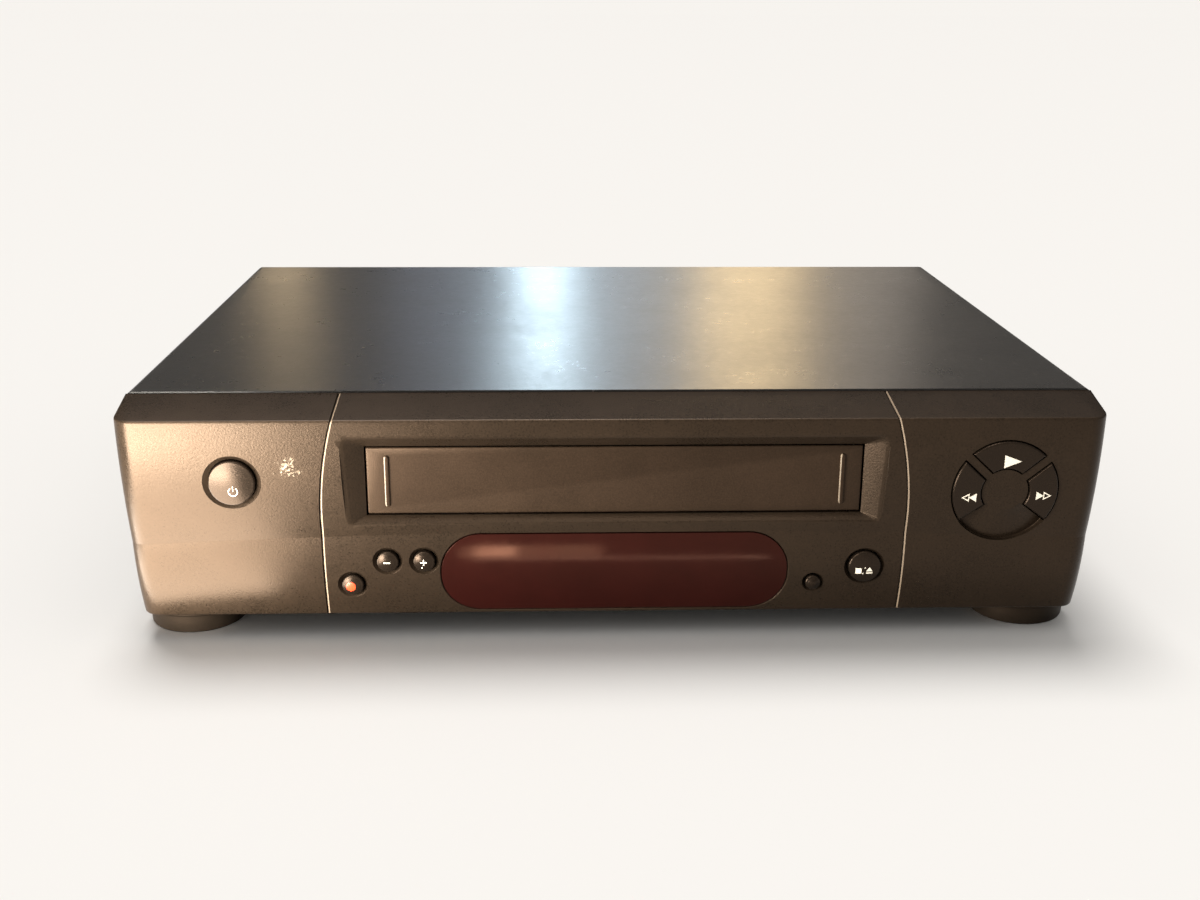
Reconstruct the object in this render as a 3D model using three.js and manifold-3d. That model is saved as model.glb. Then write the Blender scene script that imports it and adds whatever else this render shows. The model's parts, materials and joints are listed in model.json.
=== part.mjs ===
// A front-loading video cassette recorder, in millimetres.
// X runs to the right, Y to the rear and Z up. While the pieces are made, Y is zero at the front edge of
// the top cover and Z is zero at the floor; the whole is then centred over its own middle.

import * as THREE from 'three';
import { mergeVertices } from 'three/addons/utils/BufferGeometryUtils.js';
import Module from 'manifold-3d';

const wasm = await Module();
wasm.setup();

// Clearances and cuts
const seatGap = 0.3;
const runGap = 0.5;
const overrun = 1;
const roundSides = 16;
const fineSides = 24;
const coarseSides = 8;

// Top cover
const coverWidth = 380;
const coverDepth = 261;
const coverTop = 97;
const coverBottom = 13;
const coverSheet = 1;
const coverBend = 3;
const rearLipDrop = 12;

// Cassette that the bay takes
const tapeWidth = 187;
const tapeHeight = 25;

const half = coverWidth / 2;

// Feet
const footRadius = 19.5;
const footHeight = 10.2;
const footChamfer = 1;
const footDraft = 0.5;
const footInset = 20;
const footX = half - footInset;
const footFrontY = 6;
const footRearInset = 29;
const footRearY = coverDepth - footRearInset;
const footSides = 24;

// Tape bay door, which hangs from its top corners
const doorSideGap = 2;
const doorDrop = 17;
const doorTop = coverTop - doorDrop;
const doorSpare = 1.8;
const doorBottom = doorTop - tapeHeight - doorSpare;
const doorFrontY = -20;
const doorThick = 1.8;
const doorGap = 0.6;
const doorAxisY = -16;
const doorAxisRise = 2.4;
const doorAxisZ = doorTop + doorAxisRise;
const doorEarRadius = 1.6;
const doorEarThick = 1.5;
const doorEarFoot = 8;
const doorPinRadius = 1.1;
const doorPinReach = 5;
const doorSpringPinReach = 12.4;
const doorRibInset = 7.7;
const doorRibWidth = 1.8;
const doorRibHeight = 20.4;
const doorRibDrop = 0.1;
const doorRibCentreZ = (doorTop + doorBottom) / 2 - doorRibDrop;
const doorRibProud = 0.8;
const bearingWall = 3;
const bearingReach = 4.5;
const doorWidth = tapeWidth + 2 * doorSideGap;
const doorRibX = doorWidth / 2 - doorRibInset;
const openingHalf = doorWidth / 2 + doorGap;
const openingBottom = doorBottom - doorGap;
const openingTop = doorTop + doorGap;

// Frame round the tape bay
const frameSide = 7.4;
const frameOuterX = openingHalf + frameSide;
const frameFootSide = 8.9;
const frameOuterBottomX = openingHalf + frameFootSide;
const frameHead = 4.7;
const frameOuterTop = openingTop + frameHead;
const frameSill = 3.4;
const frameOuterBottom = openingBottom - frameSill;
const frameFrontY = -25.6;
const frameCorner = 2.5;
const frameMitre = 0.1;
const frameCornerSteps = 3;
const frameBackY = -18.6;
const frameBorder = 3;

// Front panel
const panelBottom = footHeight + seatGap;
const panelStep = 0.4;
const panelWall = 2.5;
const shelfDrop = 0.8;
const shelfBackZ = coverTop - shelfDrop;
const shelfFall = 4;
const shelfFrontZ = shelfBackZ - shelfFall;
const shelfReach = 25;
const creaseY = -23;
const creaseDrop = 6.7;
const creaseZ = doorBottom - creaseDrop;
const creaseArch = 4.5;
const skirtY = -18.6;
const upperBulge = 1.6;
const lowerBulge = 1.5;
const cornerRadius = 7.5;
const endTuck = 3;
const tongueReach = 5;
const tongueThick = 2;
const tongueInset = 12;
const upperShares = [1 / 6, 1 / 3, 1 / 2, 2 / 3, 5 / 6, 1];
const lowerShares = [1 / 5, 2 / 5, 3 / 5, 4 / 5, 1];
const cornerSteps = 4;
const innerStationShares = [0.8, 0.6, 0.4, 0.2, 0];

// Decorative grooves
const grooveWidth = 1;
const grooveDepth = 0.9;
const grooveInset = 9.7;
const grooveFootX = frameOuterX + grooveInset;
const grooveDraw = 5.8;
const grooveTurnRise = 3.5;
const grooveTurnZ = creaseZ + grooveTurnRise;
const grooveSteps = 6;

// Door return spring
const springWire = 0.7;
const springTurns = 4;
const springPitch = 1.4;
const springStepsPerTurn = 8;
const springSides = 5;

// How the panel's two ends, its whole height and its lower lobe compare with the measured ones
const endMeasured = 76.8;
const endScale = (half - grooveFootX) / endMeasured;
const heightMeasured = 86.5;
const heightScale = (coverTop - panelBottom) / heightMeasured;
const lobeMeasured = 36;
const lobeScale = (creaseZ - panelBottom) / lobeMeasured;
const ringScale = Math.min(endScale, heightScale);

// Display window and tube
const windowMargin = 45.4;
const windowWidth = 2 * (grooveFootX - windowMargin * lobeScale);
const windowTall = 33.2;
const windowHeight = windowTall * lobeScale;
const windowRise = 18.4;
const windowCentreZ = panelBottom + windowRise * lobeScale;
const windowRound = 15.6;
const windowRadius = windowRound * lobeScale;
const windowThick = 2.4;
const windowCornerSteps = 8;
const tubeWidthShare = 0.6785;
const tubeHeightShare = 0.6627;
const tubeWidth = windowWidth * tubeWidthShare;
const tubeHeight = windowHeight * tubeHeightShare;
const tubeThick = 6;

// Buttons: centre X, centre Z, cap radius and dish radius
const standbyOut = 32.4;
const standbyX = -(grooveFootX + standbyOut * endScale);
const standbyDrop = 28.9;
const standbyZ = coverTop - standbyDrop * heightScale;
const standbyCap = 8.8;
const standbyRadius = standbyCap * ringScale;
const standbyBowl = 10.6;
const standbyDish = standbyBowl * ringScale;
const recordIn = 10.7;
const recordX = -(grooveFootX - recordIn * lobeScale);
const recordRise = 13.9;
const recordZ = panelBottom + recordRise * lobeScale;
const programmeDownIn = 24.7;
const programmeDownX = -(grooveFootX - programmeDownIn * lobeScale);
const programmeUpIn = 38.8;
const programmeUpX = -(grooveFootX - programmeUpIn * lobeScale);
const programmeRise = 24;
const programmeZ = panelBottom + programmeRise * lobeScale;
const smallCap = 4.2;
const smallRadius = smallCap * lobeScale;
const smallBowl = 5.4;
const smallDish = smallBowl * lobeScale;
const installIn = 34.8;
const installX = grooveFootX - installIn * lobeScale;
const installRise = 13.3;
const installZ = panelBottom + installRise * lobeScale;
const installCap = 3;
const installRadius = installCap * lobeScale;
const installBowl = 3.8;
const installDish = installBowl * lobeScale;
const stopIn = 14.8;
const stopX = grooveFootX - stopIn * lobeScale;
const stopRise = 20.3;
const stopZ = panelBottom + stopRise * lobeScale;
const stopCap = 6.4;
const stopRadius = stopCap * lobeScale;
const stopBowl = 7.5;
const stopDish = stopBowl * lobeScale;
const dishDepth = 1.4;
const capProud = 1;
const capDome = 0.8;
const capRound = 0.7;
const capBackY = -16;
const capFlange = 1.2;
const flangeThick = 1.2;
const stemRadius = 1.5;
const stemEndY = -13.3;

// Ring of three buttons
const ringOut = 37.4;
const ringX = grooveFootX + ringOut * endScale;
const ringDrop = 34.4;
const ringZ = coverTop - ringDrop * heightScale;
const ringSpan = 21;
const ringRadius = ringSpan * ringScale;
const hubSpan = 9;
const hubRadius = hubSpan * ringScale;
const barSpan = 1.5;
const barHalf = barSpan * ringScale;
const ringGap = 0.5;
const ringProud = 0.9;
const ringStepDegrees = 9;
const barRightDegrees = 40;
const barLeftDegrees = 137;
const scoopLeftDegrees = 217;
const scoopRightDegrees = 323;
const scoopSink = 3.4;
const scoopDepth = scoopSink * ringScale;
const scoopFloor = 1.6;
const ringStemOut = 15;
const ringStemRadius = ringStemOut * ringScale;

// Key board
const boardThick = 1.6;
const keyBoardY = -9;
const keyBoardInset = 14;
const keyBoardHalf = half - keyBoardInset;
const keyBoardBottom = 14;
const keyBoardRise = 0.5;
const keyBoardTop = creaseZ + keyBoardRise;
const keyWingOut = 8.5;
const keyWingInner = frameOuterX + keyWingOut;
const keyWingDrop = 13;
const keyWingTop = coverTop - keyWingDrop;
const switchSide = 6;
const switchThick = 3;
const bossRadius = 2.6;
const bossLowInset = 22;
const bossLowX = half - bossLowInset * endScale;
const bossLowRise = 13.5;
const bossLowZ = panelBottom + bossLowRise * lobeScale;
const bossHighOut = 6;
const bossHighX = keyWingInner + bossHighOut;
const bossHighDrop = 17;
const bossHighZ = coverTop - bossHighDrop;

// Chassis tub
const tubWall = 2;
const tubWallTop = 60;
const tubFrontY = 0.3;
const ventWidth = 3;
const ventPitch = 9;
const ventCount = 7;
const ventY = 60;
const postRadius = 3;

// Rear panel
const rearSheet = 1.5;
const rearBottom = 12.5;
const rearVentCount = 8;
const rearVentX = -70;
const rearVentDrop = 35;
const rearVentZ = coverTop - rearVentDrop;
const rearVentLength = 22;
const rearVentPitch = 7;
const rearVentWidth = 2.6;

// Carriage widths, which set the width of the deck and of the bays beside it
const tapeSideGap = 0.7;
const carriageSheet = 1;
const holderHalf = tapeWidth / 2 + tapeSideGap;
const holderOuter = holderHalf + carriageSheet;
const sliderInner = holderOuter + runGap;
const sliderOuter = sliderInner + carriageSheet;
const bracketInner = sliderOuter + runGap;
const deckSide = 6.3;
const deckHalf = bracketInner + deckSide;
const partitionInset = 2;
const partitionX = deckHalf - partitionInset;

// Boards in the side bays
const bayGap = 4.5;
const bayInnerX = deckHalf + bayGap;
const bayInset = 6;
const bayOuterX = half - bayInset;
const bayMeasured = 76;
const bayScale = (bayOuterX - bayInnerX) / bayMeasured;
const ventSpan = 30;
const ventLength = ventSpan * bayScale;
const ventOut = 37;
const ventX = bayInnerX + ventOut * bayScale;
const sideBoardZ = 17;
const mainBoardFront = 20;
const mainStripX = -34;
const mainStripInset = 22;
const mainStripFront = coverDepth - mainStripInset;
const boardInset = 9;
const boardRear = coverDepth - boardInset;
const powerBoardInset = 143;
const powerBoardFront = coverDepth - powerBoardInset;
const postInset = 6;

// Power supply parts
const transformerSpan = 44;
const transformerWidth = transformerSpan * bayScale;
const transformerDepth = 36;
const transformerHeight = 34;
const transformerOut = 50;
const transformerX = -(bayInnerX + transformerOut * bayScale);
const transformerInset = 103;
const transformerY = coverDepth - transformerInset;
const windingOut = 4;
const windingStep = 7;
const windingInset = windingStep * bayScale;
const capacitorSpan = 11;
const capacitorRadius = capacitorSpan * bayScale;
const capacitorHeight = 32;
const capacitorOut = 13;
const capacitorX = -(bayInnerX + capacitorOut * bayScale);
const capacitorInset = 113;
const capacitorY = coverDepth - capacitorInset;
const sinkSpan = 56;
const sinkWidth = sinkSpan * bayScale;
const sinkOut = 38;
const sinkX = -(bayInnerX + sinkOut * bayScale);
const sinkInset = 65;
const sinkY = coverDepth - sinkInset;
const sinkHeight = 36;
const sinkBack = 2;
const finReach = 10;
const finThick = 1.4;
const finCount = 7;

// Sockets at the rear
const socketReach = 1.8;
const scartWidth = 46;
const scartHeight = 14.4;
const scartWall = 1.2;
const scartDepth = 9;
const scartBodyWidth = 52;
const scartBodyDepth = 18;
const scartZ = 30;
const scartFirstX = 4;
const scartSecondX = 62;
const tunerSpan = 56;
const tunerWidth = tunerSpan * bayScale;
const tunerDepth = 34;
const tunerHeight = 24;
const tunerOut = 38;
const tunerX = bayInnerX + tunerOut * bayScale;
const aerialSpan = 26;
const aerialPitch = aerialSpan * bayScale;
const aerialZ = 31;
const aerialRadius = 6.2;
const aerialBore = 4.4;
const aerialReach = 8.3;
const aerialDepth = 9;
const inletOut = 42;
const inletX = -(bayInnerX + inletOut * bayScale);
const inletZ = 33;
const inletWidth = 24;
const inletHeight = 15;
const inletBodyDepth = 19;
const inletWall = 2.5;
const inletDepth = 13;
const inletPinRadius = 1.2;
const inletPinPitch = 8.6;
const inletPinLength = 9.5;

// Cover screws
const screwX = 60;
const screwOuterInset = 40;
const screwOuterX = half - screwOuterInset;
const screwDrop = 6;
const screwZ = coverTop - screwDrop;
const screwShank = 1.5;
const screwHole = 1.8;
const screwLength = 7;
const screwHeadRadius = 3.1;
const screwHeadThick = 2;
const screwSides = 8;

// Deck plate
const deckZ = 24;
const deckThick = 1.5;
const deckFront = 12;
const deckInset = 25;
const deckRear = coverDepth - deckInset;
const deckCorner = 6;
const deckMeasured = 103.5;
const deckWide = deckHalf / deckMeasured;
const deckLongMeasured = 224;
const deckLong = (deckRear - deckFront) / deckLongMeasured;
const pinRadius = 1.5;
const pinBore = 1.8;

// Carriage: holder, slider and side brackets
const tapeTopGap = 1.8;
const holderFloorDrop = 1;
const holderFloorZ = doorBottom - holderFloorDrop;
const holderFrontY = 14.6;
const holderLong = 50;
const holderRearY = deckFront + holderLong * deckLong;
const lipFrontY = -4;
const lipWidth = 11;
const stopTabWidth = 9;
const carriageRun = 62;
const carriageTravel = carriageRun * deckLong;
const holderStand = 6.2;
const holderDrop = holderFloorZ - deckZ - holderStand;
const holderPinRise = 13.8;
const holderPinZ = holderFloorZ + holderPinRise;
const holderPinRadius = 2;
const holderPinFront = 12;
const holderPinFrontY = deckFront + holderPinFront * deckLong;
const holderPinRearInset = 10;
const holderPinRearY = holderRearY - holderPinRearInset * deckLong;
const slotGap = 0.3;
const slotRoundShare = 0.98;
const sliderDrop = 9.8;
const sliderTop = coverTop - sliderDrop;
const sliderRise = 14;
const sliderBottom = deckZ + sliderRise;
const sliderBarNear = 18;
const sliderBarFront = deckFront + sliderBarNear * deckLong;
const sliderBarFar = 32;
const sliderBarRear = deckFront + sliderBarFar * deckLong;
const sliderPinDrop = 13;
const sliderPinZ = coverTop - sliderPinDrop;
const sliderPinRadius = 1.6;
const bracketSheet = 1.2;
const bracketDrop = 7;
const bracketTop = coverTop - bracketDrop;
const bracketFront = 8;
const bracketLong = 116;
const bracketRear = deckFront + bracketLong * deckLong;
const bracketFoot = 4.5;

// Head drum
const drumDepth = 153;
const drumY = deckFront + drumDepth * deckLong;
const drumRadius = 31;
const drumTiltDegrees = 6;
const lowerDrumHeight = 17;
const upperDrumHeight = 12;
const drumMotorRadius = 17;
const drumMotorBottom = 15;
const drumSides = 32;
const headNotchWidth = 5;
const headNotchDepth = 3;
const drumCapRadius = 12;
const drumCapHeight = 2;

// Capstan
const capstanOut = 60;
const capstanX = capstanOut * deckWide;
const capstanAhead = 43;
const capstanY = drumY - capstanAhead;
const capstanRadius = 1.5;
const capstanTop = 52;
const bearingRadius = 3.5;
const bearingHeight = 6;
const flywheelRadius = 24;
const flywheelBottom = 15;
const flywheelThick = 6;

// Arms on the deck
const armThick = 2;
const armWidth = 7;
const armRise = 1;
const guidePivotOut = 73;
const guidePivotX = guidePivotOut * deckWide;
const guidePivotAhead = 15;
const guidePivotY = drumY - guidePivotAhead;
const guideReach = 26;
const guideTop = 52;
const guideBaseRadius = 4;
const guideRollerRadius = 3;
const guideBaseHeight = 5;
const swingPivotOut = 84;
const swingPivotX = swingPivotOut * deckWide;
const swingPivotAhead = 31;
const swingPivotY = drumY - swingPivotAhead;
const pinchPressOut = 4.7;
const pinchPressX = capstanX + pinchPressOut;
const pinchPressAhead = 6.2;
const pinchPressY = capstanY - pinchPressAhead;
const pinchOpenDegrees = 30;
const pinchRadius = 6;
const pinchBottom = 32;
const pinchTop = 46;
const pinchPinRadius = 1.2;
const pinchPinTop = 49;
const tensionPostRadius = 2;
const pivotBossRadius = 3.6;
const pivotBossHeight = 4.5;

// Reel tables and idler
const reelOut = 46;
const reelX = reelOut * deckWide;
const reelDepth = 56;
const reelY = deckFront + reelDepth * deckLong;
const reelSpan = 20;
const reelRadius = reelSpan * deckWide;
const reelTooth = 1.2;
const reelTeeth = 32;
const reelZ = 27;
const reelThick = 3;
const reelHubRadius = 4.2;
const reelSplineRadius = 6.2;
const reelSplineWidth = 1.6;
const reelHubTop = 41;
const reelSplineCount = 3;
const idlerPivotDepth = 16;
const idlerPivotY = deckFront + idlerPivotDepth * deckLong;
const idlerSpan = 14;
const idlerRadius = idlerSpan * deckWide;
const idlerTeeth = 24;
const idlerThick = 2.4;
const idlerGearZ = 28.6;

// Heads, loading motor and cam
const headInset = 11.5;
const headX = deckHalf - headInset;
const headAhead = 7;
const headY = drumY - headAhead;
const headWidth = 9;
const headDepth = 11;
const headHeight = 23;
const soundHeadWidth = 12;
const soundBaseWidth = 18;
const soundBaseThick = 3;
const camOut = 66;
const camX = -camOut * deckWide;
const camInset = 36;
const camY = deckRear - camInset;
const camRadius = 20;
const camTeeth = 32;
const camHubRadius = 6;
const camThick = 6;
const wormRadius = 4;
const wormLength = 28;
const wormShaft = 1;
const motorRadius = 11;
const motorLength = 30;
const motorGap = 2;

const tubFloorZ = footHeight + seatGap;
const tubInset = coverSheet + seatGap;
const holderTopZ = holderFloorZ + tapeHeight + tapeTopGap;
const deckTop = deckZ + deckThick;
const rearOuterY = coverDepth - coverSheet - seatGap;
const rearInnerY = rearOuterY - rearSheet;
const tubRearY = rearInnerY - seatGap;
const tubHalf = half - tubInset;

const directionX = new THREE.Vector3(1, 0, 0);
const directionY = new THREE.Vector3(0, 1, 0);
const directionZ = new THREE.Vector3(0, 0, 1);
const turnTo = {
  x: new THREE.Matrix4().makeBasis(directionY, directionZ, directionX),
  y: new THREE.Matrix4().makeBasis(directionX, directionZ, directionY.clone().negate()),
  z: new THREE.Matrix4(),
};

const recorder = new THREE.Group();

function radians(degrees) {
  return THREE.MathUtils.degToRad(degrees);
}

// Turn a closed geometry into a solid with its faces pointing out.
function solid(geometry) {
  geometry.deleteAttribute('normal');
  geometry.deleteAttribute('uv');
  const merged = mergeVertices(geometry);
  const points = merged.attributes.position.array;
  const corners = Array.from(merged.index.array);
  const kept = [];
  let volume = 0;
  for (let i = 0; i < corners.length; i += 3) {
    const [a, b, c] = corners.slice(i, i + 3);
    if (a !== b && b !== c && c !== a) {
      kept.push([a, b, c]);
      const [p, q, r] = [a, b, c].map((k) => new THREE.Vector3().fromArray(points, 3 * k));
      volume += p.dot(q.cross(r));
    }
  }
  const turned = volume < 0 ? kept.map(([a, b, c]) => [a, c, b]) : kept;
  const mesh = new wasm.Mesh({
    numProp: 3,
    vertProperties: new Float32Array(points),
    triVerts: new Uint32Array(turned.flat()),
  });
  return new wasm.Manifold(mesh);
}

function block([x0, x1], [y0, y1], [z0, z1]) {
  const geometry = new THREE.BoxGeometry(x1 - x0, y1 - y0, z1 - z0);
  geometry.translate((x0 + x1) / 2, (y0 + y1) / 2, (z0 + z1) / 2);
  return solid(geometry);
}

// A prism along one axis. Its outline is (y, z) along x, (x, z) along y and (x, y) along z.
function prism(outline, axis, from, to) {
  const shape = new THREE.Shape(outline.map(([a, b]) => new THREE.Vector2(a, b)));
  const geometry = new THREE.ExtrudeGeometry(shape, { depth: to - from, bevelEnabled: false });
  geometry.applyMatrix4(turnTo[axis]);
  const start = axis === 'y' ? to : from;
  const shift = { x: directionX, y: directionY, z: directionZ }[axis].clone().multiplyScalar(start);
  geometry.translate(shift.x, shift.y, shift.z);
  return solid(geometry);
}

function arc([a, b], radius, fromDegrees, toDegrees, steps) {
  return Array.from({ length: steps + 1 }, (_, i) => {
    const angle = radians(fromDegrees + ((toDegrees - fromDegrees) * i) / steps);
    return [a + radius * Math.cos(angle), b + radius * Math.sin(angle)];
  });
}

function rod(axis, centre, radius, from, to, sides = roundSides) {
  return prism(arc(centre, radius, 0, 360, sides).slice(1), axis, from, to);
}

// A rectangle with round corners, between two corners.
function roundedOutline([a0, b0], [a1, b1], radius, steps) {
  return [
    ...arc([a1 - radius, b1 - radius], radius, 0, 90, steps),
    ...arc([a0 + radius, b1 - radius], radius, 90, 180, steps),
    ...arc([a0 + radius, b0 + radius], radius, 180, 270, steps),
    ...arc([a1 - radius, b0 + radius], radius, 270, 360, steps),
  ];
}

// A turned piece. The profile is (radius, height): up the z axis, or forward out of the front along y.
function turned(profile, axis, [x, y, z], sides = roundSides) {
  const geometry = new THREE.LatheGeometry(profile.map(([r, h]) => new THREE.Vector2(r, h)), sides);
  geometry.rotateX(axis === 'z' ? Math.PI / 2 : Math.PI);
  geometry.translate(x, y, z);
  return solid(geometry);
}

// A skin over rings of equal length, closed at both ends.
function loft(rings, flatten) {
  const count = rings[0].length;
  const index = [];
  for (let i = 0; i + 1 < rings.length; i += 1) {
    for (let j = 0; j < count; j += 1) {
      const [a, b] = [i * count + j, i * count + ((j + 1) % count)];
      index.push(a, b, a + count, b, b + count, a + count);
    }
  }
  const flat = rings[0].map(flatten);
  const area = THREE.ShapeUtils.area(flat);
  const last = (rings.length - 1) * count;
  THREE.ShapeUtils.triangulateShape(flat, []).forEach(([a, b, c]) => {
    const same = THREE.ShapeUtils.area([flat[a], flat[b], flat[c]]) * area > 0;
    const [p, q, r] = same ? [a, b, c] : [a, c, b];
    index.push(p, r, q, last + p, last + q, last + r);
  });
  const geometry = new THREE.BufferGeometry();
  geometry.setAttribute('position', new THREE.Float32BufferAttribute(rings.flat(2), 3));
  geometry.setIndex(index);
  return solid(geometry);
}

function joined(...bodies) {
  return bodies.reduce((whole, body) => whole.add(body));
}

function cutBy(body, ...cuts) {
  return cuts.reduce((whole, cut) => whole.subtract(cut), body);
}

function piece(name, body, look) {
  const { vertProperties, triVerts } = body.getMesh();
  const geometry = new THREE.BufferGeometry();
  geometry.setAttribute('position', new THREE.BufferAttribute(new Float32Array(vertProperties), 3));
  geometry.setIndex(new THREE.BufferAttribute(new Uint32Array(triVerts), 1));
  geometry.computeVertexNormals();
  const mesh = new THREE.Mesh(geometry, new THREE.MeshStandardMaterial(look));
  mesh.name = name;
  recorder.add(mesh);
}

const looks = {
  paint: { color: 0x17181a, roughness: 0.42, metalness: 0.1 },
  panel: { color: 0x1b1917, roughness: 0.5, metalness: 0 },
  door: { color: 0x1d1b19, roughness: 0.55, metalness: 0 },
  smoke: { color: 0x2a0d0d, roughness: 0.08, metalness: 0 },
  button: { color: 0x1d1b1a, roughness: 0.38, metalness: 0 },
  rubber: { color: 0x121212, roughness: 0.8, metalness: 0 },
  tub: { color: 0x202020, roughness: 0.7, metalness: 0 },
  zinc: { color: 0xb4b6b4, roughness: 0.35, metalness: 1 },
  steel: { color: 0x8f9294, roughness: 0.3, metalness: 1 },
  alloy: { color: 0xc4c6c8, roughness: 0.25, metalness: 1 },
  board: { color: 0x8a6a3a, roughness: 0.6, metalness: 0 },
  glass: { color: 0x20302c, roughness: 0.05, metalness: 0 },
  acetal: { color: 0xe4e0d4, roughness: 0.5, metalness: 0 },
  copper: { color: 0xa0522d, roughness: 0.4, metalness: 0.6 },
  sleeve: { color: 0x22252e, roughness: 0.4, metalness: 0 },
};

// The panel's outer face. It is bulged above and below a crease that arches up in the middle.
function creaseAt(x) {
  return creaseZ - creaseArch * (x / half) ** 2;
}

function upperPoint(x, share) {
  const y = -shelfReach + (creaseY + shelfReach) * share - 4 * upperBulge * share * (1 - share);
  return [y, shelfFrontZ + (creaseAt(x) - shelfFrontZ) * share];
}

function lowerPoint(x, share) {
  const y = creaseY + (skirtY - creaseY) * share - 4 * lowerBulge * share * (1 - share);
  return [y, creaseAt(x) + (panelBottom - creaseAt(x)) * share];
}

function faceY(x, z) {
  const crease = creaseAt(x);
  if (z > crease) {
    return upperPoint(x, (shelfFrontZ - z) / (shelfFrontZ - crease))[0];
  }
  return lowerPoint(x, (crease - z) / (crease - panelBottom))[0];
}

// The panel's section at one place along X, drawn in on all sides by the inset, with its back at backY.
function panelSection(station, inset, backY) {
  const end = half - panelStep - inset;
  const radius = cornerRadius - inset;
  const past = Math.max(0, Math.abs(station) - (end - radius));
  const setBack = radius - Math.sqrt(Math.max(0, radius ** 2 - past ** 2));
  const upper = upperShares.map((share) => upperPoint(station, share));
  const lower = lowerShares.map((share) => lowerPoint(station, share));
  const face = [...upper, ...lower].map(([y, z]) => [y + setBack + inset, Math.max(z, panelBottom + inset)]);
  const outline = [
    [backY, shelfBackZ - inset],
    [-shelfReach + setBack + inset, shelfFrontZ - inset],
    ...face,
    [backY, panelBottom + inset],
  ];
  const fall = shelfBackZ - panelBottom;
  return outline.map(([y, z]) => [station * (1 - (endTuck / half) * ((shelfBackZ - z) / fall)), y, z]);
}

function panelBody(inset, backY) {
  const end = half - panelStep - inset;
  const radius = cornerRadius - inset;
  const outer = Array.from({ length: cornerSteps }, (_, i) => {
    return end - radius + radius * Math.cos(radians((90 * i) / cornerSteps));
  });
  const right = [...outer, ...innerStationShares.map((share) => share * (end - radius))];
  const stations = [...right.map((x) => -x), ...right.slice(0, -1).reverse()];
  const rings = stations.map((station) => panelSection(station, inset, backY));
  return loft(rings, ([, y, z]) => new THREE.Vector2(y, z));
}

function grooveX(z) {
  const share = Math.max(0, (z - grooveTurnZ) / (shelfFrontZ - grooveTurnZ));
  return grooveFootX - grooveDraw * share ** 2;
}

function grooveCut(side) {
  const [low, high] = [panelBottom - overrun, shelfBackZ + overrun];
  const levels = Array.from({ length: grooveSteps + 1 }, (_, i) => low + ((high - low) * i) / grooveSteps);
  const near = levels.map((z) => [side * (grooveX(Math.min(z, shelfFrontZ)) - grooveWidth / 2), z]);
  const far = levels.map((z) => [side * (grooveX(Math.min(z, shelfFrontZ)) + grooveWidth / 2), z]);
  const strip = prism([...near, ...far.reverse()], 'y', -shelfReach - 3 * upperBulge, -seatGap);
  return strip.subtract(panelBody(grooveDepth, overrun));
}

// The bay's tapered frame: a funnel from its outer edge on the face to the door opening.
function bayFunnel() {
  const depth = doorFrontY - frameFrontY;
  const ringAt = (y) => {
    const share = (doorFrontY - y) / depth;
    const halfTop = openingHalf + (frameOuterX - openingHalf) * share;
    const halfBottom = openingHalf + (frameOuterBottomX - openingHalf) * share;
    const top = openingTop + (frameOuterTop - openingTop) * share;
    const bottom = openingBottom + (frameOuterBottom - openingBottom) * share;
    const radius = frameCorner * Math.max(share, frameMitre);
    const plain = roundedOutline([-halfBottom, bottom], [halfBottom, top], radius, frameCornerSteps);
    return plain.map(([x, z]) => {
      const upShare = (z - bottom) / (top - bottom);
      return [x * (1 + (halfTop / halfBottom - 1) * upShare), y, z];
    });
  };
  const rings = [ringAt(doorFrontY), ringAt(frameFrontY - 2 * upperBulge)];
  return loft(rings, ([x, , z]) => new THREE.Vector2(x, z));
}

function dishCut(x, z, holeRadius, dishRadius) {
  const flare = (dishRadius - holeRadius) / dishDepth;
  const profile = [
    [0, -dishDepth],
    [holeRadius, -dishDepth],
    [dishRadius + flare * overrun, overrun],
    [0, overrun],
  ];
  const dish = turned(profile, 'y', [x, faceY(x, z), z]);
  return dish.add(rod('y', [x, z], holeRadius, -shelfReach, capBackY));
}

// The outline of one ring button: straight sides along the bars, round inside and out.
function sectorOutline(fromDegrees, toDegrees, fromHalf, toHalf, inner, outer) {
  const edge = (r) => [
    fromDegrees + THREE.MathUtils.radToDeg(Math.asin(fromHalf / r)),
    toDegrees - THREE.MathUtils.radToDeg(Math.asin(toHalf / r)),
  ];
  const [outFrom, outTo] = edge(outer);
  const [inFrom, inTo] = edge(inner);
  const steps = Math.ceil((toDegrees - fromDegrees) / ringStepDegrees);
  const centre = [ringX, ringZ];
  return [...arc(centre, outer, outFrom, outTo, steps), ...arc(centre, inner, inTo, inFrom, steps)];
}

const [barRight, barLeft] = [barRightDegrees, barLeftDegrees];
const ringButtons = [
  { name: 'play_button', from: barRight, to: barLeft, fromHalf: barHalf, toHalf: barHalf },
  { name: 'rewind_button', from: barLeft, to: scoopLeftDegrees, fromHalf: barHalf, toHalf: 0 },
  { name: 'forward_button', from: scoopRightDegrees - 360, to: barRight, fromHalf: 0, toHalf: barHalf },
];

const roundButtons = [
  { name: 'standby_button', x: standbyX, z: standbyZ, radius: standbyRadius, dish: standbyDish },
  { name: 'record_button', x: recordX, z: recordZ, radius: smallRadius, dish: smallDish },
  { name: 'programme_down_button', x: programmeDownX, z: programmeZ, radius: smallRadius, dish: smallDish },
  { name: 'programme_up_button', x: programmeUpX, z: programmeZ, radius: smallRadius, dish: smallDish },
  { name: 'install_button', x: installX, z: installZ, radius: installRadius, dish: installDish },
  { name: 'stop_button', x: stopX, z: stopZ, radius: stopRadius, dish: stopDish },
];

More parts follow.
